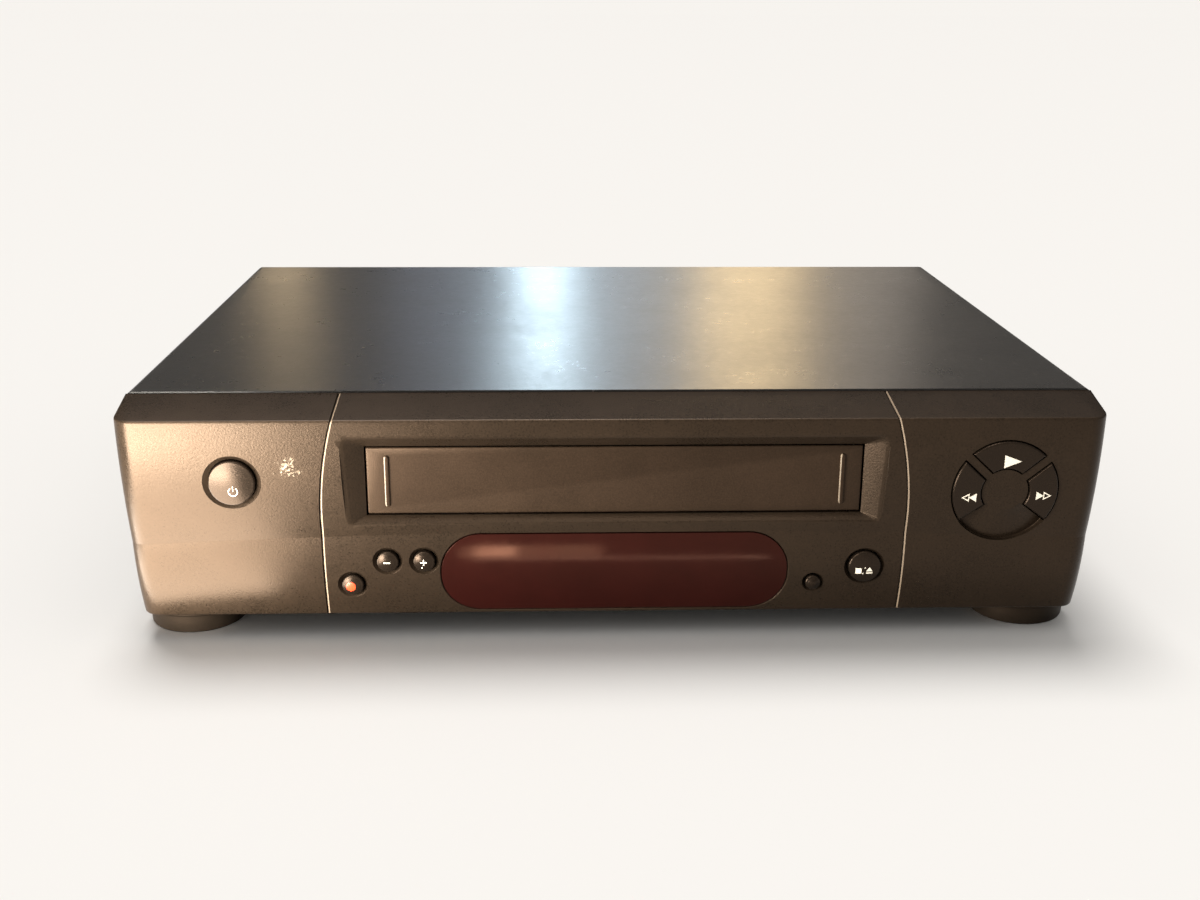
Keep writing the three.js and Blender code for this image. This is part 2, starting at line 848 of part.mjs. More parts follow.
// The finger scoop under the hub falls away from the hub's edge to the ring's edge.
function scoopCut() {
  const slope = scoopDepth / (ringRadius - hubRadius);
  const profile = [
    [hubRadius - overrun, slope * overrun],
    [ringRadius, -scoopDepth],
    [ringRadius, overrun],
    [hubRadius - overrun, overrun],
    [hubRadius - overrun, slope * overrun],
  ];
  const bowl = turned(profile, 'y', [ringX, faceY(ringX, ringZ - ringRadius / 2), ringZ], fineSides);
  const reach = 2 * ringRadius;
  const wedge = sectorOutline(scoopLeftDegrees, scoopRightDegrees, 0, 0, hubRadius - overrun, reach);
  return bowl.intersect(prism(wedge, 'y', -shelfReach - 2 * reach, capBackY));
}

function windowOutline(gap) {
  const [w, h] = [windowWidth / 2 + gap, windowHeight / 2 + gap];
  const [low, high] = [windowCentreZ - h, windowCentreZ + h];
  return roundedOutline([-w, low], [w, high], windowRadius + gap, windowCornerSteps);
}

function frontPanel() {
  const shell = panelBody(0, -seatGap).subtract(panelBody(panelWall, overrun));
  const rim = frameBorder + (frameOuterX - openingHalf);
  const surround = block(
    [-openingHalf - rim, openingHalf + rim],
    [-shelfReach + panelWall / 2, frameBackY],
    [creaseZ - frameBorder / 2, frameOuterTop + frameBorder],
  );
  const tongue = block(
    [-half + tongueInset, half - tongueInset],
    [-panelWall, tongueReach],
    [coverTop - coverSheet - seatGap - tongueThick, coverTop - coverSheet - seatGap],
  );
  const bearings = [-1, 1].map((side) => {
    const near = side * (openingHalf + seatGap);
    const far = side * (openingHalf + seatGap + bearingWall);
    const ear = block(
      [Math.min(near, far), Math.max(near, far)],
      [frameBackY - overrun, doorAxisY + bearingReach / 2],
      [doorAxisZ - bearingReach, doorAxisZ + bearingReach],
    );
    return ear;
  });
  const pinHoleRadius = doorPinRadius + seatGap;
  const pinHole = rod('x', [doorAxisY, doorAxisZ], pinHoleRadius, -frameOuterX, frameOuterX, coarseSides);
  const opening = block(
    [-openingHalf, openingHalf],
    [-shelfReach, capBackY + tongueReach],
    [openingBottom, openingTop],
  );
  const sectors = ringButtons.map(({ from, to, fromHalf, toHalf }) => {
    const outline = sectorOutline(from, to, fromHalf, toHalf, hubRadius, ringRadius);
    return prism(outline, 'y', -shelfReach - 2 * upperBulge, capBackY);
  });
  const dishes = roundButtons.map(({ x, z, radius, dish }) => dishCut(x, z, radius + seatGap, dish));
  const lens = prism(windowOutline(seatGap), 'y', -shelfReach - upperBulge, capBackY);
  const bossPlaces = [[bossLowX, bossLowZ], [bossHighX, bossHighZ]];
  const bosses = [-1, 1].flatMap((side) => bossPlaces.map(([x, z]) => {
    const from = faceY(x, z) + panelWall / 2;
    return rod('y', [side * x, z], bossRadius, from, keyBoardY - seatGap, coarseSides);
  }));
  const scoopMiddle = ringZ - ringRadius / 2;
  const scoopBack = prism(
    sectorOutline(scoopLeftDegrees, scoopRightDegrees, 0, 0, hubRadius - overrun, ringRadius + capFlange),
    'y',
    faceY(ringX, scoopMiddle) + panelWall / 2,
    faceY(ringX, scoopMiddle) + scoopDepth + scoopFloor,
  );
  return cutBy(
    joined(shell, surround, tongue, ...bearings, ...bosses, scoopBack),
    bayFunnel(),
    opening,
    pinHole,
    lens,
    ...sectors,
    ...dishes,
    scoopCut(),
    grooveCut(-1),
    grooveCut(1),
  );
}

function displayWindow() {
  const plate = panelBody(0, 0).subtract(panelBody(windowThick, overrun));
  return plate.intersect(prism(windowOutline(0), 'y', -shelfReach - upperBulge, capBackY));
}

function roundButton({ x, z, radius }) {
  const front = capProud;
  const back = faceY(x, z) - capBackY;
  const stem = faceY(x, z) - stemEndY;
  const profile = [
    [0, stem],
    [stemRadius, stem],
    [stemRadius, back],
    [radius + capFlange, back],
    [radius + capFlange, back + flangeThick],
    [radius, back + flangeThick],
    [radius, front - capRound],
    [radius - capRound, front],
    [radius / 2, front + (capDome * 3) / 4],
    [0, front + capDome],
  ];
  return turned(profile, 'y', [x, faceY(x, z), z], radius > smallRadius ? fineSides : roundSides);
}

function ringButton({ from, to, fromHalf, toHalf }) {
  const [inner, outer] = [hubRadius + ringGap, ringRadius - ringGap];
  const cap = sectorOutline(from, to, fromHalf + ringGap, toHalf + ringGap, inner, outer);
  const flange = sectorOutline(from, to, fromHalf, toHalf, inner - ringGap, ringRadius + capFlange);
  const slab = prism(cap, 'y', -shelfReach - 2 * upperBulge, capBackY);
  const front = panelBody(-ringProud, overrun).intersect(slab);
  const middle = radians((from + to) / 2);
  const [x, z] = [ringX + ringStemRadius * Math.cos(middle), ringZ + ringStemRadius * Math.sin(middle)];
  return joined(
    front,
    prism(flange, 'y', capBackY - flangeThick, capBackY),
    rod('y', [x, z], stemRadius, capBackY, stemEndY, coarseSides),
  );
}

function cassetteDoor() {
  const plate = block(
    [-doorWidth / 2, doorWidth / 2],
    [doorFrontY, doorFrontY + doorThick],
    [doorBottom, doorTop],
  );
  const parts = [-1, 1].map((side) => {
    const rib = roundedOutline(
      [side * doorRibX - doorRibWidth / 2, doorRibCentreZ - doorRibHeight / 2],
      [side * doorRibX + doorRibWidth / 2, doorRibCentreZ + doorRibHeight / 2],
      doorRibWidth / 2,
      3,
    );
    const inner = side * (doorWidth / 2 - doorEarThick);
    const outer = side * (doorWidth / 2);
    const [low, high] = [Math.min(inner, outer), Math.max(inner, outer)];
    const backY = doorAxisY + doorEarRadius;
    const leg = block([low, high], [doorFrontY + doorThick / 2, backY], [doorTop - doorEarFoot, doorAxisZ]);
    const boss = rod('x', [doorAxisY, doorAxisZ], doorEarRadius, low, high, coarseSides);
    const pinReach = side < 0 ? doorSpringPinReach : doorPinReach;
    const ends = [outer - side * (doorEarThick / 2), outer + side * pinReach];
    const axis = [doorAxisY, doorAxisZ];
    const pin = rod('x', axis, doorPinRadius, Math.min(...ends), Math.max(...ends), coarseSides);
    const notch = block(
      [low - overrun, high + overrun],
      [doorFrontY - overrun, doorAxisY - doorEarRadius],
      [doorTop, doorAxisZ + overrun],
    );
    const ear = cutBy(leg, notch);
    return joined(prism(rib, 'y', doorFrontY - doorRibProud, doorFrontY + doorThick / 2), ear, boss, pin);
  });
  return joined(plate, ...parts);
}

// A torsion spring round the end of the left door pin, wound as one wire.
function doorSpring() {
  const springRadius = doorPinRadius + seatGap + springWire / 2;
  const startX = -(openingHalf + seatGap + bearingWall + seatGap + springWire / 2);
  const steps = springTurns * springStepsPerTurn;
  const points = Array.from({ length: steps + 1 }, (_, i) => {
    const angle = (2 * Math.PI * i) / springStepsPerTurn;
    return [
      startX - (springPitch * i) / springStepsPerTurn,
      doorAxisY + springRadius * Math.cos(angle),
      doorAxisZ + springRadius * Math.sin(angle),
    ];
  });
  const rings = points.map(([x, y, z], i) => {
    const angle = (2 * Math.PI * i) / springStepsPerTurn;
    return arc([0, 0], springWire / 2, 0, 360, springSides).slice(1).map(([out, along]) => [
      x + along,
      y + out * Math.cos(angle),
      z + out * Math.sin(angle),
    ]);
  });
  const flatten = ([x, y]) => new THREE.Vector2(x, y);
  return loft(rings, flatten);
}

function keyBoard() {
  const [low, high, wing] = [keyBoardBottom, keyBoardTop, keyWingTop];
  const outline = [
    [-keyBoardHalf, low],
    [keyBoardHalf, low],
    [keyBoardHalf, wing],
    [keyWingInner, wing],
    [keyWingInner, high],
    [-keyWingInner, high],
    [-keyWingInner, wing],
    [-keyBoardHalf, wing],
  ];
  const ring = ringButtons.map(({ from, to }) => {
    const middle = radians((from + to) / 2);
    return [ringX + ringStemRadius * Math.cos(middle), ringZ + ringStemRadius * Math.sin(middle)];
  });
  const places = [...roundButtons.map(({ x, z }) => [x, z]), ...ring];
  const switches = places.map(([x, z]) => block(
    [x - switchSide / 2, x + switchSide / 2],
    [keyBoardY - switchThick, keyBoardY + boardThick / 2],
    [z - switchSide / 2, z + switchSide / 2],
  ));
  return joined(prism(outline, 'y', keyBoardY, keyBoardY + boardThick), ...switches);
}

function displayTube() {
  return block(
    [-tubeWidth / 2, tubeWidth / 2],
    [keyBoardY - seatGap - tubeThick, keyBoardY - seatGap],
    [windowCentreZ - tubeHeight / 2, windowCentreZ + tubeHeight / 2],
  );
}

function coverOutline(inset, bottom) {
  const [w, top, bend] = [half - inset, coverTop - inset, coverBend - inset];
  return [
    [-w, bottom],
    [w, bottom],
    ...arc([w - bend, top - bend], bend, 0, 90, 4),
    ...arc([-w + bend, top - bend], bend, 90, 180, 4),
  ];
}

const screwPlaces = [-screwOuterX, -screwX, screwX, screwOuterX];

function topCover() {
  const skin = prism(coverOutline(0, coverBottom), 'y', 0, coverDepth);
  const inside = coverOutline(coverSheet, coverBottom - overrun);
  const hollow = prism(inside, 'y', -overrun, coverDepth - coverSheet);
  const rearCut = block(
    [-half + coverSheet, half - coverSheet],
    [coverDepth - 2 * coverSheet, coverDepth + overrun],
    [coverBottom - overrun, coverTop - rearLipDrop],
  );
  const holes = screwPlaces.map((x) => {
    return rod('y', [x, screwZ], screwHole, coverDepth - 2 * coverSheet, coverDepth + overrun, coarseSides);
  });
  return cutBy(skin, hollow, rearCut, ...holes);
}

function coverScrew(x) {
  const shankFrom = coverDepth + seatGap - screwLength;
  const headFrom = coverDepth + seatGap;
  return joined(
    rod('y', [x, screwZ], screwShank, shankFrom, headFrom + screwHeadThick / 2, screwSides),
    rod('y', [x, screwZ], screwHeadRadius, headFrom, headFrom + screwHeadThick, screwSides),
  );
}

function chassisTub() {
  const floor = block([-tubHalf, tubHalf], [tubFrontY, tubRearY], [tubFloorZ, tubFloorZ + tubWall]);
  const walls = [-1, 1].flatMap((side) => {
    const outer = [side * tubHalf, side * (tubHalf - tubWall)];
    const inner = [side * partitionX, side * (partitionX - tubWall)];
    return [
      block([Math.min(...outer), Math.max(...outer)], [tubFrontY, tubRearY], [tubFloorZ, tubWallTop]),
      block([Math.min(...inner), Math.max(...inner)], [deckFront, deckRear], [tubFloorZ, deckZ - seatGap]),
    ];
  });
  const postTop = sideBoardZ - seatGap;
  const rightPosts = [mainBoardFront + postInset, boardRear - postInset].flatMap((y) => {
    return [bayInnerX + postInset, bayOuterX - postInset].map((x) => [x, y]);
  });
  const leftPosts = [powerBoardFront + postInset, boardRear - postInset].flatMap((y) => {
    return [-bayInnerX - postInset, -bayOuterX + postInset].map((x) => [x, y]);
  });
  const stripPost = [mainStripX + postInset, boardRear - postInset];
  const posts = [...rightPosts, ...leftPosts, stripPost].map(([x, y]) => {
    return rod('z', [x, y], postRadius, tubFloorZ, postTop, coarseSides);
  });
  const vents = [-1, 1].flatMap((side) => Array.from({ length: ventCount }, (_, i) => {
    const y = ventY + i * ventPitch;
    return block(
      [side * ventX - ventLength / 2, side * ventX + ventLength / 2],
      [y - ventWidth / 2, y + ventWidth / 2],
      [tubFloorZ - overrun, tubFloorZ + tubWall + overrun],
    );
  }));
  return cutBy(joined(floor, ...walls, ...posts), ...vents);
}

const scartPlaces = [scartFirstX, scartSecondX];
const aerialPlaces = [tunerX - aerialPitch / 2, tunerX + aerialPitch / 2];

function rearPanel() {
  const plate = prism(coverOutline(tubInset, rearBottom), 'y', rearInnerY, rearOuterY);
  const through = [rearInnerY - overrun, rearOuterY + overrun];
  const scarts = scartPlaces.map((x) => block(
    [x - scartWidth / 2 - seatGap, x + scartWidth / 2 + seatGap],
    through,
    [scartZ - scartHeight / 2 - seatGap, scartZ + scartHeight / 2 + seatGap],
  ));
  const aerials = aerialPlaces.map((x) => rod('y', [x, aerialZ], aerialRadius + seatGap, ...through));
  const inlet = block(
    [inletX - inletWidth / 2 - seatGap, inletX + inletWidth / 2 + seatGap],
    through,
    [inletZ - inletHeight / 2 - seatGap, inletZ + inletHeight / 2 + seatGap],
  );
  const screws = screwPlaces.map((x) => rod('y', [x, screwZ], screwHole, ...through, coarseSides));
  const vents = Array.from({ length: rearVentCount }, (_, i) => {
    const x = rearVentX + (i - (rearVentCount - 1) / 2) * rearVentPitch;
    return block(
      [x - rearVentWidth / 2, x + rearVentWidth / 2],
      through,
      [rearVentZ - rearVentLength / 2, rearVentZ + rearVentLength / 2],
    );
  });
  return cutBy(plate, ...scarts, ...aerials, inlet, ...screws, ...vents);
}

function foot(x, y) {
  const profile = [
    [0, 0],
    [footRadius - footDraft - footChamfer, 0],
    [footRadius - footDraft, footChamfer],
    [footRadius, footHeight],
    [0, footHeight],
  ];
  return turned(profile, 'z', [x, y, 0], footSides);
}

function mainBoard() {
  const outline = [
    [bayInnerX, mainBoardFront],
    [bayOuterX, mainBoardFront],
    [bayOuterX, boardRear],
    [mainStripX, boardRear],
    [mainStripX, mainStripFront],
    [bayInnerX, mainStripFront],
  ];
  return prism(outline, 'z', sideBoardZ, sideBoardZ + boardThick);
}

function powerBoard() {
  const board = [powerBoardFront, boardRear];
  return block([-bayOuterX, -bayInnerX], board, [sideBoardZ, sideBoardZ + boardThick]);
}

const boardTop = sideBoardZ + boardThick + seatGap;

function transformer() {
  const [w, d] = [transformerWidth / 2, transformerDepth / 2];
  const core = block(
    [transformerX - w, transformerX + w],
    [transformerY - d, transformerY + d],
    [boardTop, boardTop + transformerHeight],
  );
  const winding = block(
    [transformerX - w + windingInset, transformerX + w - windingInset],
    [transformerY - d - windingOut, transformerY + d + windingOut],
    [boardTop + windingOut, boardTop + transformerHeight - windingOut],
  );
  return joined(core, winding);
}

function heatSink() {
  const back = block(
    [sinkX - sinkWidth / 2, sinkX + sinkWidth / 2],
    [sinkY, sinkY + sinkBack],
    [boardTop, boardTop + sinkHeight],
  );
  const fins = Array.from({ length: finCount }, (_, i) => {
    const x = sinkX + (i / (finCount - 1) - 1 / 2) * (sinkWidth - finThick);
    return block(
      [x - finThick / 2, x + finThick / 2],
      [sinkY + sinkBack / 2, sinkY + sinkBack + finReach],
      [boardTop, boardTop + sinkHeight],
    );
  });
  return joined(back, ...fins);
}

function scartSocket(x) {
  const shroudEnd = rearOuterY + socketReach;
  const body = block(
    [x - scartBodyWidth / 2, x + scartBodyWidth / 2],
    [tubRearY - scartBodyDepth, tubRearY],
    [boardTop, scartZ + scartHeight / 2 + scartWall],
  );
  const shroud = block(
    [x - scartWidth / 2, x + scartWidth / 2],
    [tubRearY - overrun, shroudEnd],
    [scartZ - scartHeight / 2, scartZ + scartHeight / 2],
  );
  const well = block(
    [x - scartWidth / 2 + scartWall, x + scartWidth / 2 - scartWall],
    [shroudEnd - scartDepth, shroudEnd + overrun],
    [scartZ - scartHeight / 2 + scartWall, scartZ + scartHeight / 2 - scartWall],
  );
  return cutBy(joined(body, shroud), well);
}

function tunerBox() {
  const can = block(
    [tunerX - tunerWidth / 2, tunerX + tunerWidth / 2],
    [tubRearY - tunerDepth, tubRearY],
    [boardTop, boardTop + tunerHeight],
  );
  const neckEnd = rearOuterY + aerialReach;
  const necks = aerialPlaces.map((x) => rod('y', [x, aerialZ], aerialRadius, tubRearY - overrun, neckEnd));
  const bores = aerialPlaces.map((x) => {
    return rod('y', [x, aerialZ], aerialBore, neckEnd - aerialDepth, neckEnd + overrun);
  });
  return cutBy(joined(can, ...necks), ...bores);
}

function mainsInlet() {
  const end = rearOuterY + socketReach;
  const [w, h] = [inletWidth / 2, inletHeight / 2];
  const body = block(
    [inletX - w - inletWall, inletX + w + inletWall],
    [tubRearY - inletBodyDepth, tubRearY],
    [boardTop, inletZ + h + inletWall],
  );
  const shroud = block([inletX - w, inletX + w], [tubRearY - overrun, end], [inletZ - h, inletZ + h]);
  const wellHalf = h - inletWall;
  const well = prism(
    roundedOutline(
      [inletX - w + inletWall, inletZ - wellHalf],
      [inletX + w - inletWall, inletZ + wellHalf],
      wellHalf * slotRoundShare,
      6,
    ),
    'y',
    end - inletDepth,
    end + overrun,
  );
  const pins = [-1, 1].map((side) => rod(
    'y',
    [inletX + (side * inletPinPitch) / 2, inletZ],
    inletPinRadius,
    end - inletDepth - overrun,
    end - inletDepth + inletPinLength,
    coarseSides,
  ));
  return joined(cutBy(joined(body, shroud), well), ...pins);
}

// Places on the deck that carry an upright pin, with the height to which each pin reaches.
const camZ = deckTop + seatGap + motorRadius - camThick / 2;
const deckPins = [
  [guidePivotX, guidePivotY, deckTop + pivotBossHeight],
  [-guidePivotX, guidePivotY, deckTop + pivotBossHeight],
  [swingPivotX, swingPivotY, deckTop + pivotBossHeight],
  [-swingPivotX, swingPivotY, deckTop + pivotBossHeight],
  [0, idlerPivotY, deckTop + pivotBossHeight],
  [reelX, reelY, reelHubTop - reelThick],
  [-reelX, reelY, reelHubTop - reelThick],
  [camX, camY, camZ + camThick / 2],
];

function deckPlate() {
  const outline = roundedOutline([-deckHalf, deckFront], [deckHalf, deckRear], deckCorner, 3);
  const plate = prism(outline, 'z', deckZ, deckTop);
  const pins = deckPins.map(([x, y, top]) => rod('z', [x, y], pinRadius, deckZ, top, coarseSides));
  const bearing = rod('z', [capstanX, capstanY], bearingRadius, deckZ, deckTop + bearingHeight, coarseSides);
  const bore = rod('z', [capstanX, capstanY], pinBore, deckZ - overrun, coverTop, coarseSides);
  const drumHole = rod('z', [0, drumY], drumMotorRadius + runGap, deckZ - overrun, deckTop + overrun);
  return cutBy(joined(plate, ...pins, bearing), bore, drumHole);
}

function sideBlock(side, from, to, ys, zs) {
  const ends = [side * from, side * to];
  return block([Math.min(...ends), Math.max(...ends)], ys, zs);
}

function sideRod(side, from, to, centre, radius) {
  const ends = [side * from, side * to];
  return rod('x', centre, radius, Math.min(...ends), Math.max(...ends), coarseSides);
}

function cassetteHolder() {
  const holderBottom = holderFloorZ - carriageSheet;
  const depth = [holderFrontY, holderRearY];
  const height = [holderBottom, holderTopZ + carriageSheet];
  const lipDepth = [lipFrontY, holderRearY];
  const tabDepth = [holderRearY - carriageSheet, holderRearY];
  const top = block([-holderOuter, holderOuter], depth, [holderTopZ, holderTopZ + carriageSheet]);
  const sides = [-1, 1].flatMap((side) => [
    sideBlock(side, holderHalf, holderOuter, depth, height),
    sideBlock(side, holderOuter - lipWidth, holderOuter, lipDepth, [holderBottom, holderFloorZ]),
    sideBlock(side, holderOuter - stopTabWidth, holderOuter, tabDepth, height),
    ...[holderPinFrontY, holderPinRearY].map((y) => {
      return sideRod(side, holderHalf, sliderOuter, [y, holderPinZ], holderPinRadius);
    }),
  ]);
  return joined(top, ...sides);
}

function carriageSlider() {
  const bar = block(
    [-sliderOuter, sliderOuter],
    [sliderBarFront, sliderBarRear],
    [sliderTop - carriageSheet, sliderTop],
  );
  const arms = [-1, 1].flatMap((side) => [
    sideBlock(side, sliderInner, sliderOuter, [holderFrontY, holderRearY], [sliderBottom, sliderTop]),
    ...[holderPinFrontY, holderPinRearY].map((y) => {
      return sideRod(side, sliderInner, bracketInner + bracketSheet, [y, sliderPinZ], sliderPinRadius);
    }),
  ]);
  const slots = [-1, 1].flatMap((side) => [holderPinFrontY, holderPinRearY].map((y) => {
    const reach = holderPinRadius + slotGap;
    const ends = [side * (sliderInner - overrun), side * (sliderOuter + overrun)];
    const low = [y - reach, holderPinZ - holderDrop - reach];
    const outline = roundedOutline(low, [y + reach, holderPinZ + reach], reach * slotRoundShare, 3);
    return prism(outline, 'x', Math.min(...ends), Math.max(...ends));
  }));
  return cutBy(joined(bar, ...arms), ...slots);
}

function carriageBracket(side) {
  const wall = sideBlock(
    side,
    bracketInner,
    bracketInner + bracketSheet,
    [bracketFront, bracketRear],
    [deckTop + seatGap, bracketTop],
  );
  const flange = sideBlock(
    side,
    bracketInner,
    bracketInner + bracketFoot,
    [deckFront, bracketRear],
    [deckTop + seatGap, deckTop + seatGap + bracketSheet],
  );
  const reach = sliderPinRadius + slotGap;
  const outline = roundedOutline(
    [holderPinFrontY - reach, sliderPinZ - reach],
    [holderPinRearY + carriageTravel + reach, sliderPinZ + reach],
    reach * slotRoundShare,
    3,
  );
  const ends = [side * (bracketInner - overrun), side * (bracketInner + bracketSheet + overrun)];
  return cutBy(joined(wall, flange), prism(outline, 'x', Math.min(...ends), Math.max(...ends)));
}

// The drum's axis leans to the left. Heights are measured along it from the deck.
function leaning(geometry) {
  geometry.rotateX(Math.PI / 2);
  geometry.rotateY(-radians(drumTiltDegrees));
  geometry.translate(0, drumY, deckTop + seatGap);
  return solid(geometry);
}

function drumLathe(profile) {
  return new THREE.LatheGeometry(profile.map(([r, h]) => new THREE.Vector2(r, h)), drumSides);
}

function lowerDrum() {
  const sunk = drumRadius * Math.sin(radians(drumTiltDegrees)) + overrun;
  const profile = [[0, -sunk], [drumRadius, -sunk], [drumRadius, lowerDrumHeight], [0, lowerDrumHeight]];
  const barrel = leaning(drumLathe(profile));
  const under = block(
    [-2 * drumRadius, 2 * drumRadius],
    [drumY - 2 * drumRadius, drumY + 2 * drumRadius],
    [0, deckTop + seatGap],
  );
  const motor = rod('z', [0, drumY], drumMotorRadius, drumMotorBottom, deckTop + 2 * seatGap + overrun);
  return joined(cutBy(barrel, under), motor);
}

function upperDrum() {
  const low = lowerDrumHeight + seatGap;
  const high = low + upperDrumHeight;
  const profile = [
    [0, low],
    [drumRadius, low],
    [drumRadius, high],
    [drumCapRadius, high],
    [drumCapRadius, high + drumCapHeight],
    [0, high + drumCapHeight],
  ];
  const disc = leaning(drumLathe(profile));
  const notches = [-1, 1].map((side) => {
    const notch = new THREE.BoxGeometry(2 * headNotchDepth, 2 * headNotchDepth, headNotchWidth);
    notch.translate(side * drumRadius, low, 0);
    return leaning(notch);
  });
  return cutBy(disc, ...notches);
}

function capstan() {
  const profile = [
    [0, flywheelBottom],
    [flywheelRadius, flywheelBottom],
    [flywheelRadius, flywheelBottom + flywheelThick],
    [capstanRadius, flywheelBottom + flywheelThick],
    [capstanRadius, capstanTop],
    [0, capstanTop],
  ];
  return turned(profile, 'z', [capstanX, capstanY, 0], fineSides);
}

// A flat arm on a deck pin: a boss at its pivot and a bar to its tip.
function deckArm([px, py], [tx, ty]) {
  const low = deckTop + seatGap;
  const barLow = deckTop + armRise;
  const [dx, dy] = [tx - px, ty - py];
  const length = Math.hypot(dx, dy);
  const [ux, uy] = [(-dy / length) * (armWidth / 2), (dx / length) * (armWidth / 2)];
  const bar = prism(
    [[px + ux, py + uy], [px - ux, py - uy], [tx - ux, ty - uy], [tx + ux, ty + uy]],
    'z',
    barLow,
    barLow + armThick,
  );
  const boss = rod('z', [px, py], pivotBossRadius, low, low + pivotBossHeight, coarseSides);
  const tip = rod('z', [tx, ty], armWidth / 2, barLow, barLow + armThick, coarseSides);
  const bore = rod('z', [px, py], pinBore, low - overrun, low + pivotBossHeight + overrun, coarseSides);
  return { body: joined(bar, boss, tip), bore };
}

function guideArm(side) {
  const tip = [side * (guidePivotX - guideReach), guidePivotY - guideReach];
  const { body, bore } = deckArm([side * guidePivotX, guidePivotY], tip);
  const barTop = deckTop + armRise + armThick;
  const baseTop = barTop + guideBaseHeight;
  const profile = [
    [0, barTop - armThick / 2],
    [guideBaseRadius, barTop - armThick / 2],
    [guideBaseRadius, baseTop],
    [guideRollerRadius, baseTop],
    [guideRollerRadius, guideTop - armThick],
    [guideBaseRadius, guideTop - armThick],
    [guideBaseRadius, guideTop],
    [0, guideTop],
  ];
  return cutBy(joined(body, turned(profile, 'z', [...tip, 0], coarseSides)), bore);
}

// The roller stands at the pressing place turned back about the arm's pivot by the opening angle.
const pinchAngle = radians(pinchOpenDegrees);
const [pressX, pressY] = [pinchPressX - swingPivotX, pinchPressY - swingPivotY];
const pinchX = swingPivotX + pressX * Math.cos(pinchAngle) - pressY * Math.sin(pinchAngle);
const pinchY = swingPivotY + pressX * Math.sin(pinchAngle) + pressY * Math.cos(pinchAngle);

function pinchArm() {
  const { body, bore } = deckArm([swingPivotX, swingPivotY], [pinchX, pinchY]);
  const pin = rod('z', [pinchX, pinchY], pinchPinRadius, deckTop + armRise, pinchPinTop, coarseSides);
  const collarTop = pinchBottom - seatGap;
  const collar = rod('z', [pinchX, pinchY], armWidth / 2, deckTop + armRise, collarTop, coarseSides);
  return cutBy(joined(body, pin, collar), bore);
}

function pinchRoller() {
  const roller = rod('z', [pinchX, pinchY], pinchRadius, pinchBottom, pinchTop);
  const [low, high] = [pinchBottom - overrun, pinchTop + overrun];
  const bore = rod('z', [pinchX, pinchY], pinchPinRadius + seatGap, low, high, coarseSides);
  return cutBy(roller, bore);
}

function tensionArm() {
  const { body, bore } = deckArm([-swingPivotX, swingPivotY], [-pinchX, pinchY]);
  const post = rod('z', [-pinchX, pinchY], tensionPostRadius, deckTop + armRise, guideTop, coarseSides);
  return cutBy(joined(body, post), bore);
}

function gearOutline([x, y], teeth, tip, depth) {
  return Array.from({ length: 2 * teeth }, (_, i) => {
    const radius = i % 2 ? tip - depth : tip;
    const angle = (Math.PI * i) / teeth;
    return [x + radius * Math.cos(angle), y + radius * Math.sin(angle)];
  });
}

function reel(side) {
  const centre = [side * reelX, reelY];
  const rim = prism(gearOutline(centre, reelTeeth, reelRadius, reelTooth), 'z', reelZ, reelZ + reelThick);
  const hub = rod('z', centre, reelHubRadius, reelZ, reelHubTop, coarseSides);
  const splines = Array.from({ length: reelSplineCount }, (_, i) => {
    const angle = (2 * Math.PI * i) / reelSplineCount;
    const splineTop = reelHubTop - reelThick / 2;
    const geometry = new THREE.BoxGeometry(reelSplineRadius, reelSplineWidth, splineTop - reelZ);
    geometry.translate(reelSplineRadius / 2, 0, (splineTop + reelZ) / 2);
    geometry.rotateZ(angle);
    geometry.translate(centre[0], centre[1], 0);
    return solid(geometry);
  });
  const bore = rod('z', centre, pinBore, reelZ - overrun, reelHubTop - reelThick + seatGap, coarseSides);
  return cutBy(joined(rim, hub, ...splines), bore);
}

function idlerArm() {
  const { body, bore } = deckArm([0, idlerPivotY], [0, reelY]);
  const pin = rod('z', [0, reelY], pinRadius, deckTop + armRise, idlerGearZ + idlerThick, coarseSides);
  return cutBy(joined(body, pin), bore);
}

function idlerGear() {
  const low = deckTop + armRise + armThick + seatGap;
  const outline = gearOutline([0, reelY], idlerTeeth, idlerRadius, reelTooth);
  const gear = prism(outline, 'z', low, low + idlerThick);
  const bore = rod('z', [0, reelY], pinBore, low - overrun, low + idlerThick + overrun, coarseSides);
  return cutBy(gear, bore);
}

function eraseHead() {
  return block(
    [-headX - headWidth / 2, -headX + headWidth / 2],
    [headY - headDepth / 2, headY + headDepth / 2],
    [deckTop + seatGap, deckTop + seatGap + headHeight],
  );
}

function soundHead() {
  const low = deckTop + seatGap;
  const base = block(
    [headX - soundBaseWidth / 2, headX + soundBaseWidth / 2],
    [headY - soundBaseWidth / 2, headY + soundBaseWidth / 2],
    [low, low + soundBaseThick],
  );
  const head = block(
    [headX - soundHeadWidth / 2, headX + soundHeadWidth / 2],
    [headY - headDepth / 2, headY + headDepth / 2],
    [low, low + headHeight],
  );
  return joined(base, head);
}

function camGear() {
  const centre = [camX, camY];
  const rim = prism(gearOutline(centre, camTeeth, camRadius, reelTooth), 'z', camZ, camZ + camThick);
  const hub = rod('z', centre, camHubRadius, deckTop + seatGap, camZ + camThick, coarseSides);
  const bore = rod('z', centre, pinBore, deckTop, camZ + camThick + overrun, coarseSides);
  return cutBy(joined(rim, hub), bore);
}

const wormY = camY + camRadius + seatGap + wormRadius;
const wormZ = deckTop + seatGap + motorRadius;
const wormEndX = camX + wormLength / 2;
const motorFaceX = wormEndX + motorGap;

function worm() {
  const startX = camX - wormLength / 2;
  const shaft = rod('x', [wormY, wormZ], wormShaft, startX, motorFaceX - seatGap, coarseSides);
  return rod('x', [wormY, wormZ], wormRadius, startX, wormEndX).add(shaft);
}

